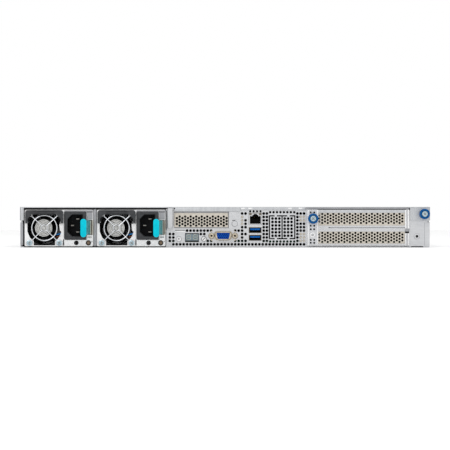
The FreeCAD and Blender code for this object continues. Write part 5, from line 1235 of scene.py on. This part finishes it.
# Main board: stepped laminate with chips, coils, capacitors, connectors and a cell
board = {
    "thickness": 1.6, "step": 198.0, "rearLeft": -60.0,
    "posts": [(-195, 218.1), (0, 218.1), (195, 218.1), (-195, 525), (0, 525), (195, 525)],
    # X, depth, width and length of each chip
    "chips": [(-30, 42, 9, 9), (-6, 66, 15, 15), (30, 58, 10, 10), (62, 92, 12, 9), (14, 128, 14, 14),
              (-36, 112, 8, 12), (-36, 132, 8, 12), (152, 62, 9, 9), (172, 122, 12, 12), (138, 226, 9, 9),
              (-92, 232, 10, 10), (-60, 262, 12, 12), (-150, 292, 9, 9), (88, 300, 10, 14), (0, 330, 9, 9),
              (176, 318, 10, 10), (-176, 352, 8, 8)],
    # X and depth of the middle, width, length and height of each connector
    "connectors": [(-150, 210, 44, 9.4, 5.8), (-92, 210, 30, 9.4, 5.8), (-195, 262, 7.5, 34, 5.4),
                   (-184, 262, 7.5, 34, 5.4), (196, 262, 7.5, 34, 5.4), (40, 352, 34, 7, 5.2),
                   (-40, 352, 34, 7, 5.2), (70, 140, 6.5, 40, 5.4), (-52, 168, 6, 24, 5.0)],
    "pinPitch": 2.6, "coils": {"depth": 346.0, "size": 9.0, "height": 4.6, "pitch": 11.4, "count": 6},
    "cans": {"radius": 3.1, "height": 5.6, "pitch": 8.4, "count": 9},
    "hubCooler": {"low": (26, 226), "size": 36, "fins": 11, "first": 1.6, "pitch": 3.28},
    "cell": (150, 273), "stickChips": (256, 276, 296),
    "materials": ["laminate", "chipPlastic", "blackPlastic", "aluminium", "chromeWire", "goldContact",
                  "palePlastic", "fanGrey"],
}


def addChip(bm, x, y, wide, long, top):
    addBox(bm, *span(x, wide / 2), *span(y, long / 2), top, top + 1.1, 0.15, 1, paint=1)
    for side in (-1, 1):  # legs and a row of small ceramic parts beside the chip
        addBox(bm, *span(x + side * (wide / 2 + 0.5), 0.5), *span(y, long / 2 - 0.8), top, top + 0.25,
               paint=4)
        for step in range(4):
            place = y - long / 2 + (step + 0.5) * long / 4
            addBox(bm, *span(x + side * (wide / 2 + 2.6), 0.8), *span(place, 0.45), top, top + 0.6, paint=6)


def addConnector(bm, x, y, wide, long, high, top):
    # Shrouded header: four walls round two rows of pins
    addFlat(bm, around(x, wide / 2, y, long / 2), top, top + high,
            cuts=[around(x, wide / 2 - 1, y, long / 2 - 1)], corner=0.4, paint=2)
    addBox(bm, *span(x, wide / 2 - 0.8), *span(y, long / 2 - 0.8), top, top + 1.4, paint=2)
    along, pitch = max(wide, long) - 4, board["pinPitch"]
    for pin in range(int(along / pitch) + 1):
        for place in ((pin * pitch - along / 2, -1.2), (pin * pitch - along / 2, 1.2)):
            dx, dy = place if wide > long else place[::-1]
            addBox(bm, *span(x + dx, 0.3), *span(y + dy, 0.3), top + 1.3, top + high - 0.8, paint=5)


def rowPlaces(middle, pitch, count):
    return [middle + (index - (count - 1) / 2) * pitch for index in range(count)]


def buildMotherboard():
    look = board
    x0, x1, rear, front, low, high = boxMm("motherboard")
    top = low + look["thickness"]
    bm = bmesh.new()
    outline = [(look["rearLeft"], rear), (x1, rear), (x1, front), (x0, front), (x0, look["step"]),
               (look["rearLeft"], look["step"])]
    addFlat(bm, outline, low, top, [(x, y, 1.9) for x, y in look["posts"]], corner=1.5)
    for x, y in look["posts"]:
        addFlat(bm, around(x, 4.4, y, 4.4), top, top + 0.05, [(x, y, 2.0)], corner=4.3, paint=4)
    for chip in look["chips"]:
        addChip(bm, *chip, top)
    for connector in look["connectors"]:
        addConnector(bm, *connector, top)
    coils, cans = look["coils"], look["cans"]
    depth, half = coils["depth"], coils["size"] / 2
    for side in (-1, 1):  # supply of each processor: a row of coils, one of capacitor cans
        for x in rowPlaces(side * processorX, coils["pitch"], coils["count"]):
            addBox(bm, *span(x, half), *span(depth, half), top, top + coils["height"], 0.8, 2, paint=1)
        for x in rowPlaces(side * processorX, cans["pitch"], cans["count"]):
            addRod(bm, (x, depth + 12, top), (x, depth + 12, top + cans["height"]), cans["radius"], 20,
                   edge=0.4, paint=4)
            addBox(bm, *span(x, 2.4), depth - 14, depth - 9, top, top + 0.9, 0.1, 1, paint=1)
    # Pin-finned cooler of the hub chip
    hub = look["hubCooler"]
    hubX, hubY = hub["low"]
    addBox(bm, hubX, hubX + hub["size"], hubY, hubY + hub["size"], top + 1.1, top + 2.4, 0.2, 1, paint=3)
    for column in range(hub["fins"]):
        for row in range(hub["fins"]):
            x, y = hubX + hub["first"] + column * hub["pitch"], hubY + hub["first"] + row * hub["pitch"]
            addBox(bm, *span(x, 0.7), *span(y, 0.7), top + 2.3, high - 0.2, paint=3)
    # Cell in its holder, and a memory stick lying on its posts
    x, y = look["cell"]
    addBox(bm, *span(x, 11), *span(y, 11), top, top + 2.2, 0.8, 2, paint=2)
    addRod(bm, (x, y, top + 1), (x, y, top + 3.6), 10, 40, edge=0.4, paint=4)
    addBox(bm, -11, 11, 236, 316, top + 2.6, top + 3.4, 0.1, 1)
    addBox(bm, -12, 12, 232, 238, top, top + 4.2, 0.3, 1, paint=2)
    for depth in look["stickChips"]:
        addBox(bm, -8, 8, *span(depth, 7), top + 3.4, top + 4.4, 0.1, 1, paint=1)
    addRod(bm, (0, 313, top), (0, 313, top + 4.4), 2.6, 16, edge=0.3, paint=4)
    for x, _ in rearButtons:  # switches behind the two buttons
        addBox(bm, *span(x, 3.5), rear + 0.2, rear + 6, top, high, 0.3, 1, paint=2)
        addBox(bm, *span(x, 3.3), rear, rear + 0.3, top + 0.3, high - 0.3, 0.1, 1, paint=4)
    finishPiece(bm, "populated_main_board", look, "motherboard")


# Processor coolers: base, thin fins, and four sprung screws each
cooler = {"half": 39, "foot": 3, "socket": (22, 30), "base": 5.0, "fins": 33, "fin": 0.5,
          "screws": (33.4, 47), "materials": ["aluminium", "chromeWire", "zincSteel"]}


def buildCoolers():
    look = cooler
    _, _, rear, front, low, high = boxMm("cpu_heatsinks")
    foot, depth = low + look["foot"], (rear + front) / 2
    top = foot + look["base"]
    bm = bmesh.new()
    for middle in (-processorX, processorX):
        left, right = span(middle, look["half"])
        addBox(bm, *span(middle, look["socket"][0]), *span(depth, look["socket"][1]), low, foot, 0.4, 2,
               paint=2)
        addBox(bm, left, right, rear, front, foot, top, 0.4, 2)
        pitch = (right - left - look["fin"]) / (look["fins"] - 1)
        for index in range(look["fins"]):
            x = left + index * pitch
            addBox(bm, x, x + look["fin"], rear, front, top - 0.5, high)
        for x in span(middle, look["screws"][0]):
            for y in span(depth, look["screws"][1]):
                addRod(bm, (x, y, foot + 5), (x, y, foot + 11), 3.2, 20, edge=0.4, paint=1)
    finishPiece(bm, "finned_coolers", look, "cpu_heatsinks")


# Memory: sockets with a latch at each end, and sticks with gold contacts along the foot
memory = {"places": [side * processorX + bank * (46.5 + n * 8.5) for side in (-1, 1) for bank in (-1, 1)
                     for n in range(4)],
          "width": 6.4, "materials": ["blackPlastic", "palePlastic", "laminate", "chipPlastic",
                                      "goldContact"]}


def buildMemory():
    look = memory
    _, _, rear, front, low, high = boxMm("dimm_sockets")
    stick = boxMm("dimm_modules")[2:]
    bm = bmesh.new()
    for x in look["places"]:
        addFlat(bm, rectangle(*span(x, look["width"] / 2), rear, front), low, high,
                cuts=[rectangle(*span(x, 0.9), stick[0] - 0.3, stick[1] + 0.3)], corner=0.5)
        for near, far in ((rear + 0.3, rear + 4.0), (front - 4.0, front - 0.3)):
            addBox(bm, *span(x, 2.2), near, far, high - 1.5, high + 0.6, 0.4, 2, paint=1)
    finishPiece(bm, "memory_sockets", look, "dimm_sockets")
    bm = bmesh.new()
    for x in look["places"]:
        addBox(bm, *span(x, 0.55), *stick, 0.15, 1, paint=2)
        for middle in span(x, 0.55):
            addBox(bm, *span(middle, 0.05), stick[0] + 3, stick[1] - 3, stick[2] + 0.5, stick[2] + 3.2,
                   paint=4)
    finishPiece(bm, "memory_sticks", look, "dimm_modules")


# Moulded hood over the processors, with raised ribs and recessed pads where a hand lifts it
shroud = {"wall": 1.0, "rib": 0.5, "ribs": (-168, -105, -42, 0, 42, 105, 168), "padX": 136.5, "padDepth": 78,
          "materials": ["blackPlastic", "cyanPlastic"]}


def buildShroud():
    look = shroud
    x0, x1, rear, front, low, high = boxMm("air_shroud")
    top, wall = high - look["rib"], look["wall"]
    bm = bmesh.new()
    outline = [(x0, low), (x0, top), (x1, top), (x1, low), (x1 - wall, low), (x1 - wall, top - wall),
               (x0 + wall, top - wall), (x0 + wall, low)]
    addPlate(bm, outline, rear, front, corner=0.45)
    for x in look["ribs"]:
        addBox(bm, *span(x, 0.8), rear + 4, front - 4, top - 0.2, high, 0.2, 1)
    for depth in (rear + 1.4, rear + 62, front - 62, front - 1.4):
        addBox(bm, x0 + 2, x1 - 2, *span(depth, 0.8), top - 0.2, high, 0.2, 1)
    pad = rear + look["padDepth"]
    for middle in (-look["padX"], look["padX"]):
        addBox(bm, *span(middle, 12), pad, pad + 20, top - 0.15, high - 0.05, 0.2, 2, paint=1)
        for groove in range(4):
            addBox(bm, *span(middle, 10), *span(pad + 4 + groove * 4, 0.5), high - 0.15, high, 0.1, 1,
                   paint=1)
    finishPiece(bm, "processor_air_hood", look, "air_shroud")


# Channel that the fans stand in, its lips pierced between the fans
channel = {"lip": 1.0, "slot": (8, 5, 8.4), "materials": ["zincSteel", "blackPlastic"]}


def buildChannel():
    look = channel
    x0, x1, rear, front, low, high = boxMm("fan_bracket")
    gaps = [(near + far) / 2 for near, far in zip(fanPlaces, fanPlaces[1:])]
    bm = bmesh.new()
    addFlat(bm, rectangle(x0, x1, rear, front), low, low + 1, [(x, (rear + front) / 2, 4) for x in gaps],
            corner=1.5)
    cuts = [rectangle(*span(x, look["slot"][0]), *look["slot"][1:]) for x in gaps]
    for depth in (rear, front - look["lip"]):
        addPlate(bm, rectangle(x0, x1, low, high), depth, depth + look["lip"], cuts=cuts, corner=1.5,
                 cutCorner=1.6)
    for x in gaps:  # rubber studs between the fans
        for depth in (rear + 9, front - 9):
            addRod(bm, (x, depth, low + 0.9), (x, depth, low + 3.4), 3.4, 20, tip=2.4, edge=0.4, paint=1)
    finishPiece(bm, "fan_channel", look, "fan_bracket")


# Square fan frames: flanges on a round barrel, stator vanes round the hub, and two pull tabs
fanFrame = {"half": 20.0, "bore": 18.6, "flange": 4.5, "hub": 10.2, "vanes": 7, "screw": 16.6,
            "tabs": (570, 596),
            "middleFlange": (586.5, 593.5), "materials": ["fanBlack", "cyanPlastic", "fanGrey"]}


def buildFanFrames():
    look = fanFrame
    rear, front, low, high = boxMm("fan_frames")[2:]
    z, half, bore, hub, flange = (low + high) / 2, look["half"], look["bore"], look["hub"], look["flange"]
    bm = bmesh.new()
    for x in fanPlaces:
        corners = [(cornerX, cornerZ, 1.8) for cornerX in span(x, look["screw"])
                   for cornerZ in span(z, look["screw"])]
        for y0, y1 in ((rear, rear + flange), (front - flange, front), look["middleFlange"]):
            addPlate(bm, around(x, half, z, half), y0, y1, [(x, z, bore)] + corners, corner=2.4, sides=36)
        addTurned(bm, x, z, [(bore, rear + 0.2), (bore, front - 0.2), (bore + 0.9, front - 0.2),
                             (bore + 0.9, rear + 0.2), (bore, rear + 0.2)], 36)
        start, shoulder, chamfer, end = hubDepths
        addTurned(bm, x, z, [(0, start), (hub, start), (hub, shoulder), (hub - 3, chamfer), (0, end)], 28, 2)
        for vane in range(look["vanes"]):
            angle = 2 * math.pi * vane / look["vanes"]
            spread = Vector((math.cos(angle), 0, math.sin(angle)))
            middle = Vector((x, vaneDepth, z))
            addRod(bm, middle + spread * (hub - 1), middle + spread * (bore + 0.4), 1.6, 8, tip=1.1)
        for tab in look["tabs"]:
            addBox(bm, *span(x, 7), tab, tab + 14, high - 1.0, high - 0.1, 0.4, 2, paint=1)
    finishPiece(bm, "system_fan_frames", look, "fan_frames")


# Cage of the drive bays: pierced shelf, walls with rivets, and the slotted bar above the drives
cage = {"sheet": 1.0, "shelf": 31.6, "bar": 4.0, "vent": (2.6, 9), "ventStarts": (-188, -81, 26.5, 134),
        "rivets": (12, 75, 138), "slots": 12, "slotWidth": 24.0, "slotHeight": 4.6, "shift": 12.0,
        "endRoom": 25.0,
        "bars": 7, "barPitch": 3.1, "buttonHole": 3.3, "materials": ["zincSteel", "deepBlack", "chromeWire"]}


def buildDriveCage():
    look = cage
    x0, x1, rear, front, low, high = boxMm("drive_cage")
    sheet, shelf, barRear = look["sheet"], look["shelf"], front - look["bar"]
    radius, pitch = look["vent"]
    bm = bmesh.new()
    vents = [(x + column * pitch, rear + 24 + row * pitch, radius) for x in look["ventStarts"]
             for column in range(7)
             for row in range(9)]
    addFlat(bm, rectangle(x0, x1, rear, barRear + 0.2), shelf, shelf + sheet, vents, corner=1.0)
    for x in rowPlaces(0, 107.2, 5):
        addBox(bm, *span(x, sheet / 2), rear, barRear, low, shelf + 0.1, 0.15, 1)
        for depth in look["rivets"]:
            addRod(bm, (x, rear + depth, shelf + sheet - 0.1), (x, rear + depth, shelf + sheet + 0.7), 2.6,
                   20, tip=2.0, edge=0.2, paint=2)
    middle = (shelf + sheet + high) / 2
    slots = rowPlaces(-look["shift"], 2 * (x1 - look["endRoom"]) / look["slots"], look["slots"])
    half, rise = look["slotWidth"] / 2, look["slotHeight"] / 2
    buttons = [(middleOf(node)[0], middle, look["buttonHole"])
               for node in ("power_button_front", "identify_button_front")]
    addPlate(bm, rectangle(x0, x1, shelf, high), barRear, front, buttons,
             [around(x, half, middle, rise) for x in slots], corner=0.5, cutCorner=1.4,
             sides=28)
    for x in slots:  # upright bars of the grille, set back in each slot
        for place in rowPlaces(x, look["barPitch"], look["bars"]):
            addBox(bm, *span(place, 0.4), barRear + 1, front - 1.2, *span(middle, rise + 0.1), paint=1)
    finishPiece(bm, "drive_cage_pierced", look, "drive_cage")


# Board behind the drives, with an air slot and a combined plug for each
backplane = {"thickness": 1.6, "vent": (40.0, 23.6, 29.6), "plug": (-25.0, 20.0), "chips": (-40, 32, 40),
             "contacts": 20, "materials": ["laminate", "blackPlastic", "goldContact", "chipPlastic"]}


def buildBackplane():
    look = backplane
    x0, x1, rear, front, low, high = boxMm("drive_backplane")
    plateFront = rear + look["thickness"]
    bm = bmesh.new()
    vents = [rectangle(*span(x, look["vent"][0]), *look["vent"][1:]) for x in bayPlaces]
    addPlate(bm, rectangle(x0, x1, low, high), rear, plateFront, cuts=vents, corner=1.5, cutCorner=1.5)
    for x in bayPlaces:
        left, right = (x + place for place in look["plug"])
        addPlate(bm, rectangle(left, right, 7, 14), plateFront, front,
                 cuts=[rectangle(left + 3, right - 3, 9.2, 11.8)], corner=0.8, cutCorner=0.5, paint=1)
        addBox(bm, left + 3.2, right - 3.2, plateFront, front - 0.8, 9.8, 11.0, 0.2, 1, paint=1)
        for contact in range(look["contacts"]):
            place = left + 4.4 + contact * 1.9
            addBox(bm, place, place + 0.9, plateFront + 1, front - 1, 11.0, 11.12, paint=2)
        for chip in look["chips"]:
            addBox(bm, *span(x + chip, 2.5), plateFront, plateFront + 1, 15, 20, 0.1, 1, paint=3)
    finishPiece(bm, "drive_backplane_board", look, "drive_backplane")


# Drive tray: hollow vented face with a recess for its lever, two pierced rails and a strap
tray = {"face": 13.0, "recess": 5.6, "layer": 3.2, "recessX": (-47.3, 39.8), "recessRise": 9.3, "vents": 9,
        "slotRows": (-5.2, 0, 5.2), "lamps": [(46, 22, 1.2), (46, 18, 1.2)],
        "rail": 1.4, "railHeight": 22.0, "railHoles": (14, 28, 60, 90, 105, 131), "railCuts": (38, 70),
        "materials": ["darkPlastic", "zincSteel", "deepBlack", "lampPlastic", "palePlastic"]}


def buildTray(index):
    look = tray
    x0, x1, rear, front, low, high = boxMm(f"drive_tray_{index + 1}")
    x, rail = bayPlaces[index], look["rail"]
    faceRear, recess = front - look["face"], front - look["recess"]
    left, right = (x + place for place in look["recessX"])
    outline = rectangle(x0, x1, low, high)
    rounding = {"corner": 1.2, "cutCorner": 0.8}
    bm = bmesh.new()
    # Face in two layers, both open where air passes: the outer one round the lever, the inner one behind it
    pitch = (right - left - 4) / look["vents"]
    slots = [around(left + 2 + (step + 0.5) * pitch, pitch / 2 - 1, z, 0.9)
             for step in range(look["vents"]) for z in (low + 2.5, high - 2.5)]
    opening = rectangle(left, right, *span(bayMiddle, look["recessRise"]))
    lamps = [(x + place, z, radius) for place, z, radius in look["lamps"]]
    addPlate(bm, outline, recess, front, lamps, slots + [opening], sides=16, **rounding)
    middleSlots = [around(left + 2 + (step + 1) * pitch, 3.2, bayMiddle + rise, 1.3)
                   for step in range(look["vents"] - 1) for rise in look["slotRows"]]
    addPlate(bm, outline, recess - look["layer"], recess, cuts=middleSlots, **rounding)
    for lampX, lampZ, radius in lamps:
        addRod(bm, (lampX, recess + 1, lampZ), (lampX, front - 0.3, lampZ), radius - 0.05, 16, edge=0.3,
               paint=3)
    addBox(bm, x + 42.6, x + 49.4, front - 0.6, front - 0.02, 9.0, 13.0, 0.25, 2, paint=4)  # plain grip pad
    hollow = rectangle(x0 + 3, x1 - 3, low + rail, high - rail)
    addPlate(bm, outline, faceRear, recess - look["layer"] + 0.1, cuts=[hollow], **rounding)
    holes = [(rear + place, low + 9, 1.7) for place in look["railHoles"]]
    cuts = [rectangle(rear + place, rear + place + 14, low + 14, low + 17) for place in look["railCuts"]]
    for inner in (x0, x1 - rail):  # rails lie along the depth, so their plates are turned a quarter
        place = Matrix.Translation((inner + rail, 0, 0)) @ Matrix.Rotation(math.pi / 2, 4, "Z")
        addPlate(bm, rectangle(rear, faceRear + 1, low, low + look["railHeight"]), 0, rail, holes, cuts,
                 corner=1.0, cutCorner=1.0, matrix=place, paint=1)
    addBox(bm, x0 + 0.5, x1 - 0.5, rear + 30, rear + 40, low, low + rail, 0.3, 2, paint=1)
    finishPiece(bm, f"drive_tray_{index + 1}_vented", look, f"drive_tray_{index + 1}",
                f"tray_{index + 1}")


# Lever of a tray: rounded arm on its upright root, pierced, with a turquoise touch point at its end
lever = {"thickness": 5.0, "slots": 6, "slotStart": 9, "slotPitch": 9.6, "slotLong": 6.4,
         "materials": ["blackPlastic", "cyanPlastic", "chromeWire"]}


def buildLever(index):
    look = lever
    x0, x1, rear, front, low, high = boxMm(f"tray_lever_{index + 1}")
    pivot, middle = x0 + look["thickness"] / 2, (rear + front) / 2
    bm = bmesh.new()
    outline = rectangle(pivot, x1, low, high)
    starts = [pivot + look["slotStart"] + step * look["slotPitch"] for step in range(look["slots"])]
    slots = [rectangle(start, start + look["slotLong"], *span(bayMiddle + rise, 1.3)) for start in starts
             for rise in tray["slotRows"]]
    grip = rectangle(x1 - 16, x1 - 6, low + 3, high - 3)
    addPlate(bm, outline, rear + 2.2, front, cuts=slots, corner=1.0, cutCorner=0.9)
    addPlate(bm, outline, rear, rear + 2.25, cuts=slots + [grip], corner=1.0, cutCorner=0.9)
    addRod(bm, (pivot, middle, low), (pivot, middle, high), look["thickness"] / 2, 28, edge=0.3)
    addBox(bm, x1 - 17, x1 - 5, front - 0.3, front, low + 2.4, high - 2.4, 0.1, 1, paint=1)
    finishPiece(bm, f"tray_{index + 1}_pierced_lever", look, f"tray_lever_{index + 1}",
                f"lever_{index + 1}")


# Rack ears: painted plates with two slotted holes each, and flanges screwed to the body's sides
ears = {"thickness": 2.0, "holeIn": 8.75, "holeRise": 15.875, "holeLong": 10.3, "holeWide": 6.8,
        "screwDepths": (12, 42), "screwIn": 8, "materials": ["paintedSteel", "chromeWire"]}


def buildEars():
    look = ears
    _, x1, rear, front, low, high = boxMm("rack_ears")
    inner, thick = boxMm("top_cover")[1], look["thickness"]
    bm = bmesh.new()
    for side in (-1, 1):
        slots = [around(side * (x1 - look["holeIn"]), look["holeLong"] / 2, z, look["holeWide"] / 2)
                 for z in span((low + high) / 2, look["holeRise"])]
        addPlate(bm, rectangle(*sorted((side * inner, side * x1)), low, high), front - thick, front,
                 cuts=slots, corner=1.6, cutCorner=3.35, sides=16)
        addBox(bm, *sorted((side * inner, side * (inner + thick))), rear, front - 0.4, low, high, 0.5, 3)
        for depth in look["screwDepths"]:
            for z in (low + look["screwIn"], high - look["screwIn"]):
                start = Vector((side * (inner + thick - 0.2), rear + depth, z))
                addRod(bm, start, start + Vector((side * 0.5, 0, 0)), 3.0, 24, tip=2.5, paint=1)
    finishPiece(bm, "painted_rack_ears", look, "rack_ears")


# Push buttons of the front: dished plated caps
frontButton = {"radius": 2.9, "dish": 2.0, "materials": ["chromeWire"]}


def buildFrontButton(node, body, name):
    look = frontButton
    x, z = middleOf(node)
    rear, front = boxMm(node)[2:4]
    radius, dish = look["radius"], look["dish"]
    bm = bmesh.new()
    addTurned(bm, x, z, [(0, rear), (radius, rear), (radius, front - 0.3), (radius - 0.25, front),
                         (dish + 0.3, front), (dish, front - 0.35), (0, front - 0.45)], 36)
    finishPiece(bm, name, look, node, body)


# Riser card with its two slot connectors
riser = {"thickness": 1.6, "slotStart": 39.0, "slotLength": 90.0, "slotLevels": (10.68, 31.0), "contacts": 44,
         "chips": ((144, 14), (144, 28), (160, 21), (172, 33)),
         "materials": ["laminate", "blackPlastic", "goldContact", "chipPlastic"]}


def buildRiserCard():
    look = riser
    x0, x1, rear, front, low, high = boxMm("riser_card")
    right = x0 + look["thickness"]
    start, end = look["slotStart"], look["slotStart"] + look["slotLength"]
    bm = bmesh.new()
    addBox(bm, x0, right, rear, front, low, high, 0.1, 1)
    for middle in look["slotLevels"]:
        for z in span(middle, 2.25):
            addBox(bm, right, x1, start, end, *span(z, 1.25), 0.3, 2, paint=1)
        for wall in (start, start + 12, end - 2):
            addBox(bm, right, x1, wall, wall + 2, *span(middle, 1.2), 0.1, 1, paint=1)
        for contact in range(look["contacts"]):
            place = start + 3 + contact * 1.95
            addBox(bm, right + 2, x1 - 1, place, place + 0.8, middle - 1.02, middle - 0.9, paint=2)
    for depth, z in look["chips"]:
        addBox(bm, right, right + 1.1, *span(depth, 5), *span(z, 4), 0.1, 1, paint=3)
    finishPiece(bm, "riser_card_with_slots", look, "riser_card")


# Board between the supplies and the main board, with a socket for each edge card
powerCard = {"thickness": 1.6, "socketX": 36.75, "socketHalf": 28.0, "walls": ((2.5, 5.4), (8.6, 11.5)),
             "chips": (-24, -8, 8, 24), "materials": ["laminate", "blackPlastic", "goldContact",
                                                      "chipPlastic"]}


def buildPowerBoard():
    look = powerCard
    x0, x1, rear, front, low, high = boxMm("power_board")
    plateRear, half = front - look["thickness"], look["socketHalf"]
    bm = bmesh.new()
    addBox(bm, x0, x1, plateRear, front, low, high, 0.1, 1)
    for left in supplyLeft:
        middle = left + look["socketX"]
        for wall in look["walls"]:
            addBox(bm, *span(middle, half), rear, plateRear, *wall, 0.3, 2, paint=1)
        for end in (middle - half, middle + half - 2.2):
            addBox(bm, end, end + 2.2, rear, plateRear, 5.3, 8.7, 0.1, 1, paint=1)
        for chip in look["chips"]:
            addBox(bm, *span(middle + chip, 4), plateRear - 3, plateRear, 18, 28, 0.5, 2, paint=3)
    finishPiece(bm, "power_distribution_board", look, "power_board")


buildMotherboard()
buildCoolers()
buildMemory()
buildShroud()
buildChannel()
buildFanFrames()
buildDriveCage()
buildBackplane()
for index in range(4):
    buildTray(index)
    buildLever(index)
buildEars()
buildFrontButton("power_button_front", "power_front", "front_power_push_button")
buildFrontButton("identify_button_front", "identify_front", "front_identify_push_button")
buildRiserCard()
buildPowerBoard()
for index in range(6):
    buildRotor(f"fan_rotor_{index + 1}", f"system_fan_{index + 1}", f"system_fan_rotor_{index + 1}")
print("boards, fans, drive bays and ears ready")


# Plain pale floor and soft studio light
studio = {"floor": "#FAFAFA", "floorRoughness": 0.8, "floorHalf": 8.0, "background": "#FFFFFF",
          "aim": (0, -0.3, 0.02),
          # Name, place and size in metres, and watts of each softbox
          "lights": (("rearSoftbox", (-1.2, -2.6, 1.7), 1.6, 9), ("topSoftbox", (0.4, -0.6, 2.4), 2.0, 8))}


def buildStage():
    look = studio
    paint = bpy.data.materials.new("paleStudioFloor")
    paint.use_nodes = True
    shader = paint.node_tree.nodes["Principled BSDF"]
    shader.inputs["Base Color"].default_value = colour(look["floor"])
    shader.inputs["Roughness"].default_value = look["floorRoughness"]
    bm = bmesh.new()
    bmesh.ops.create_grid(bm, x_segments=1, y_segments=1, size=look["floorHalf"])
    mesh = bpy.data.meshes.new("floor")
    bm.to_mesh(mesh)
    bm.free()
    mesh.materials.append(paint)
    floor = bpy.data.objects.new("floor", mesh)
    bpy.context.scene.collection.objects.link(floor)
    world = bpy.data.worlds.new("studio")
    bpy.context.scene.world = world
    world.use_nodes = True
    world.node_tree.nodes["Background"].inputs["Color"].default_value = colour(look["background"])
    world.node_tree.nodes["Background"].inputs["Strength"].default_value = 1.0
    for name, place, size, energy in look["lights"]:
        light = bpy.data.lights.new(name, "AREA")
        light.energy = energy
        light.size = size
        lamp = bpy.data.objects.new(name, light)
        lamp.location = place
        aim = Vector(look["aim"]) - Vector(place)
        lamp.rotation_euler = aim.to_track_quat("-Z", "Y").to_euler()
        bpy.context.scene.collection.objects.link(lamp)


# Camera of the photograph: level, square to the rear, from far off
photo = {"distance": 2600.0, "height": 24.0, "viewWidth": 482.4, "sensor": 36.0}


def buildCamera():
    look = photo
    lens = bpy.data.cameras.new("photoCamera")
    lens.sensor_width = look["sensor"]
    lens.lens = look["sensor"] * look["distance"] / look["viewWidth"]
    camera = bpy.data.objects.new("photoCamera", lens)
    camera.location = (0, rearY - look["distance"] * mm, look["height"] * mm)
    camera.rotation_euler = (math.pi / 2, 0, 0)
    bpy.context.scene.collection.objects.link(camera)
    bpy.context.scene.camera = camera


buildStage()
buildCamera()
bpy.context.scene.view_settings.view_transform = "Standard"
bpy.context.view_layer.update()
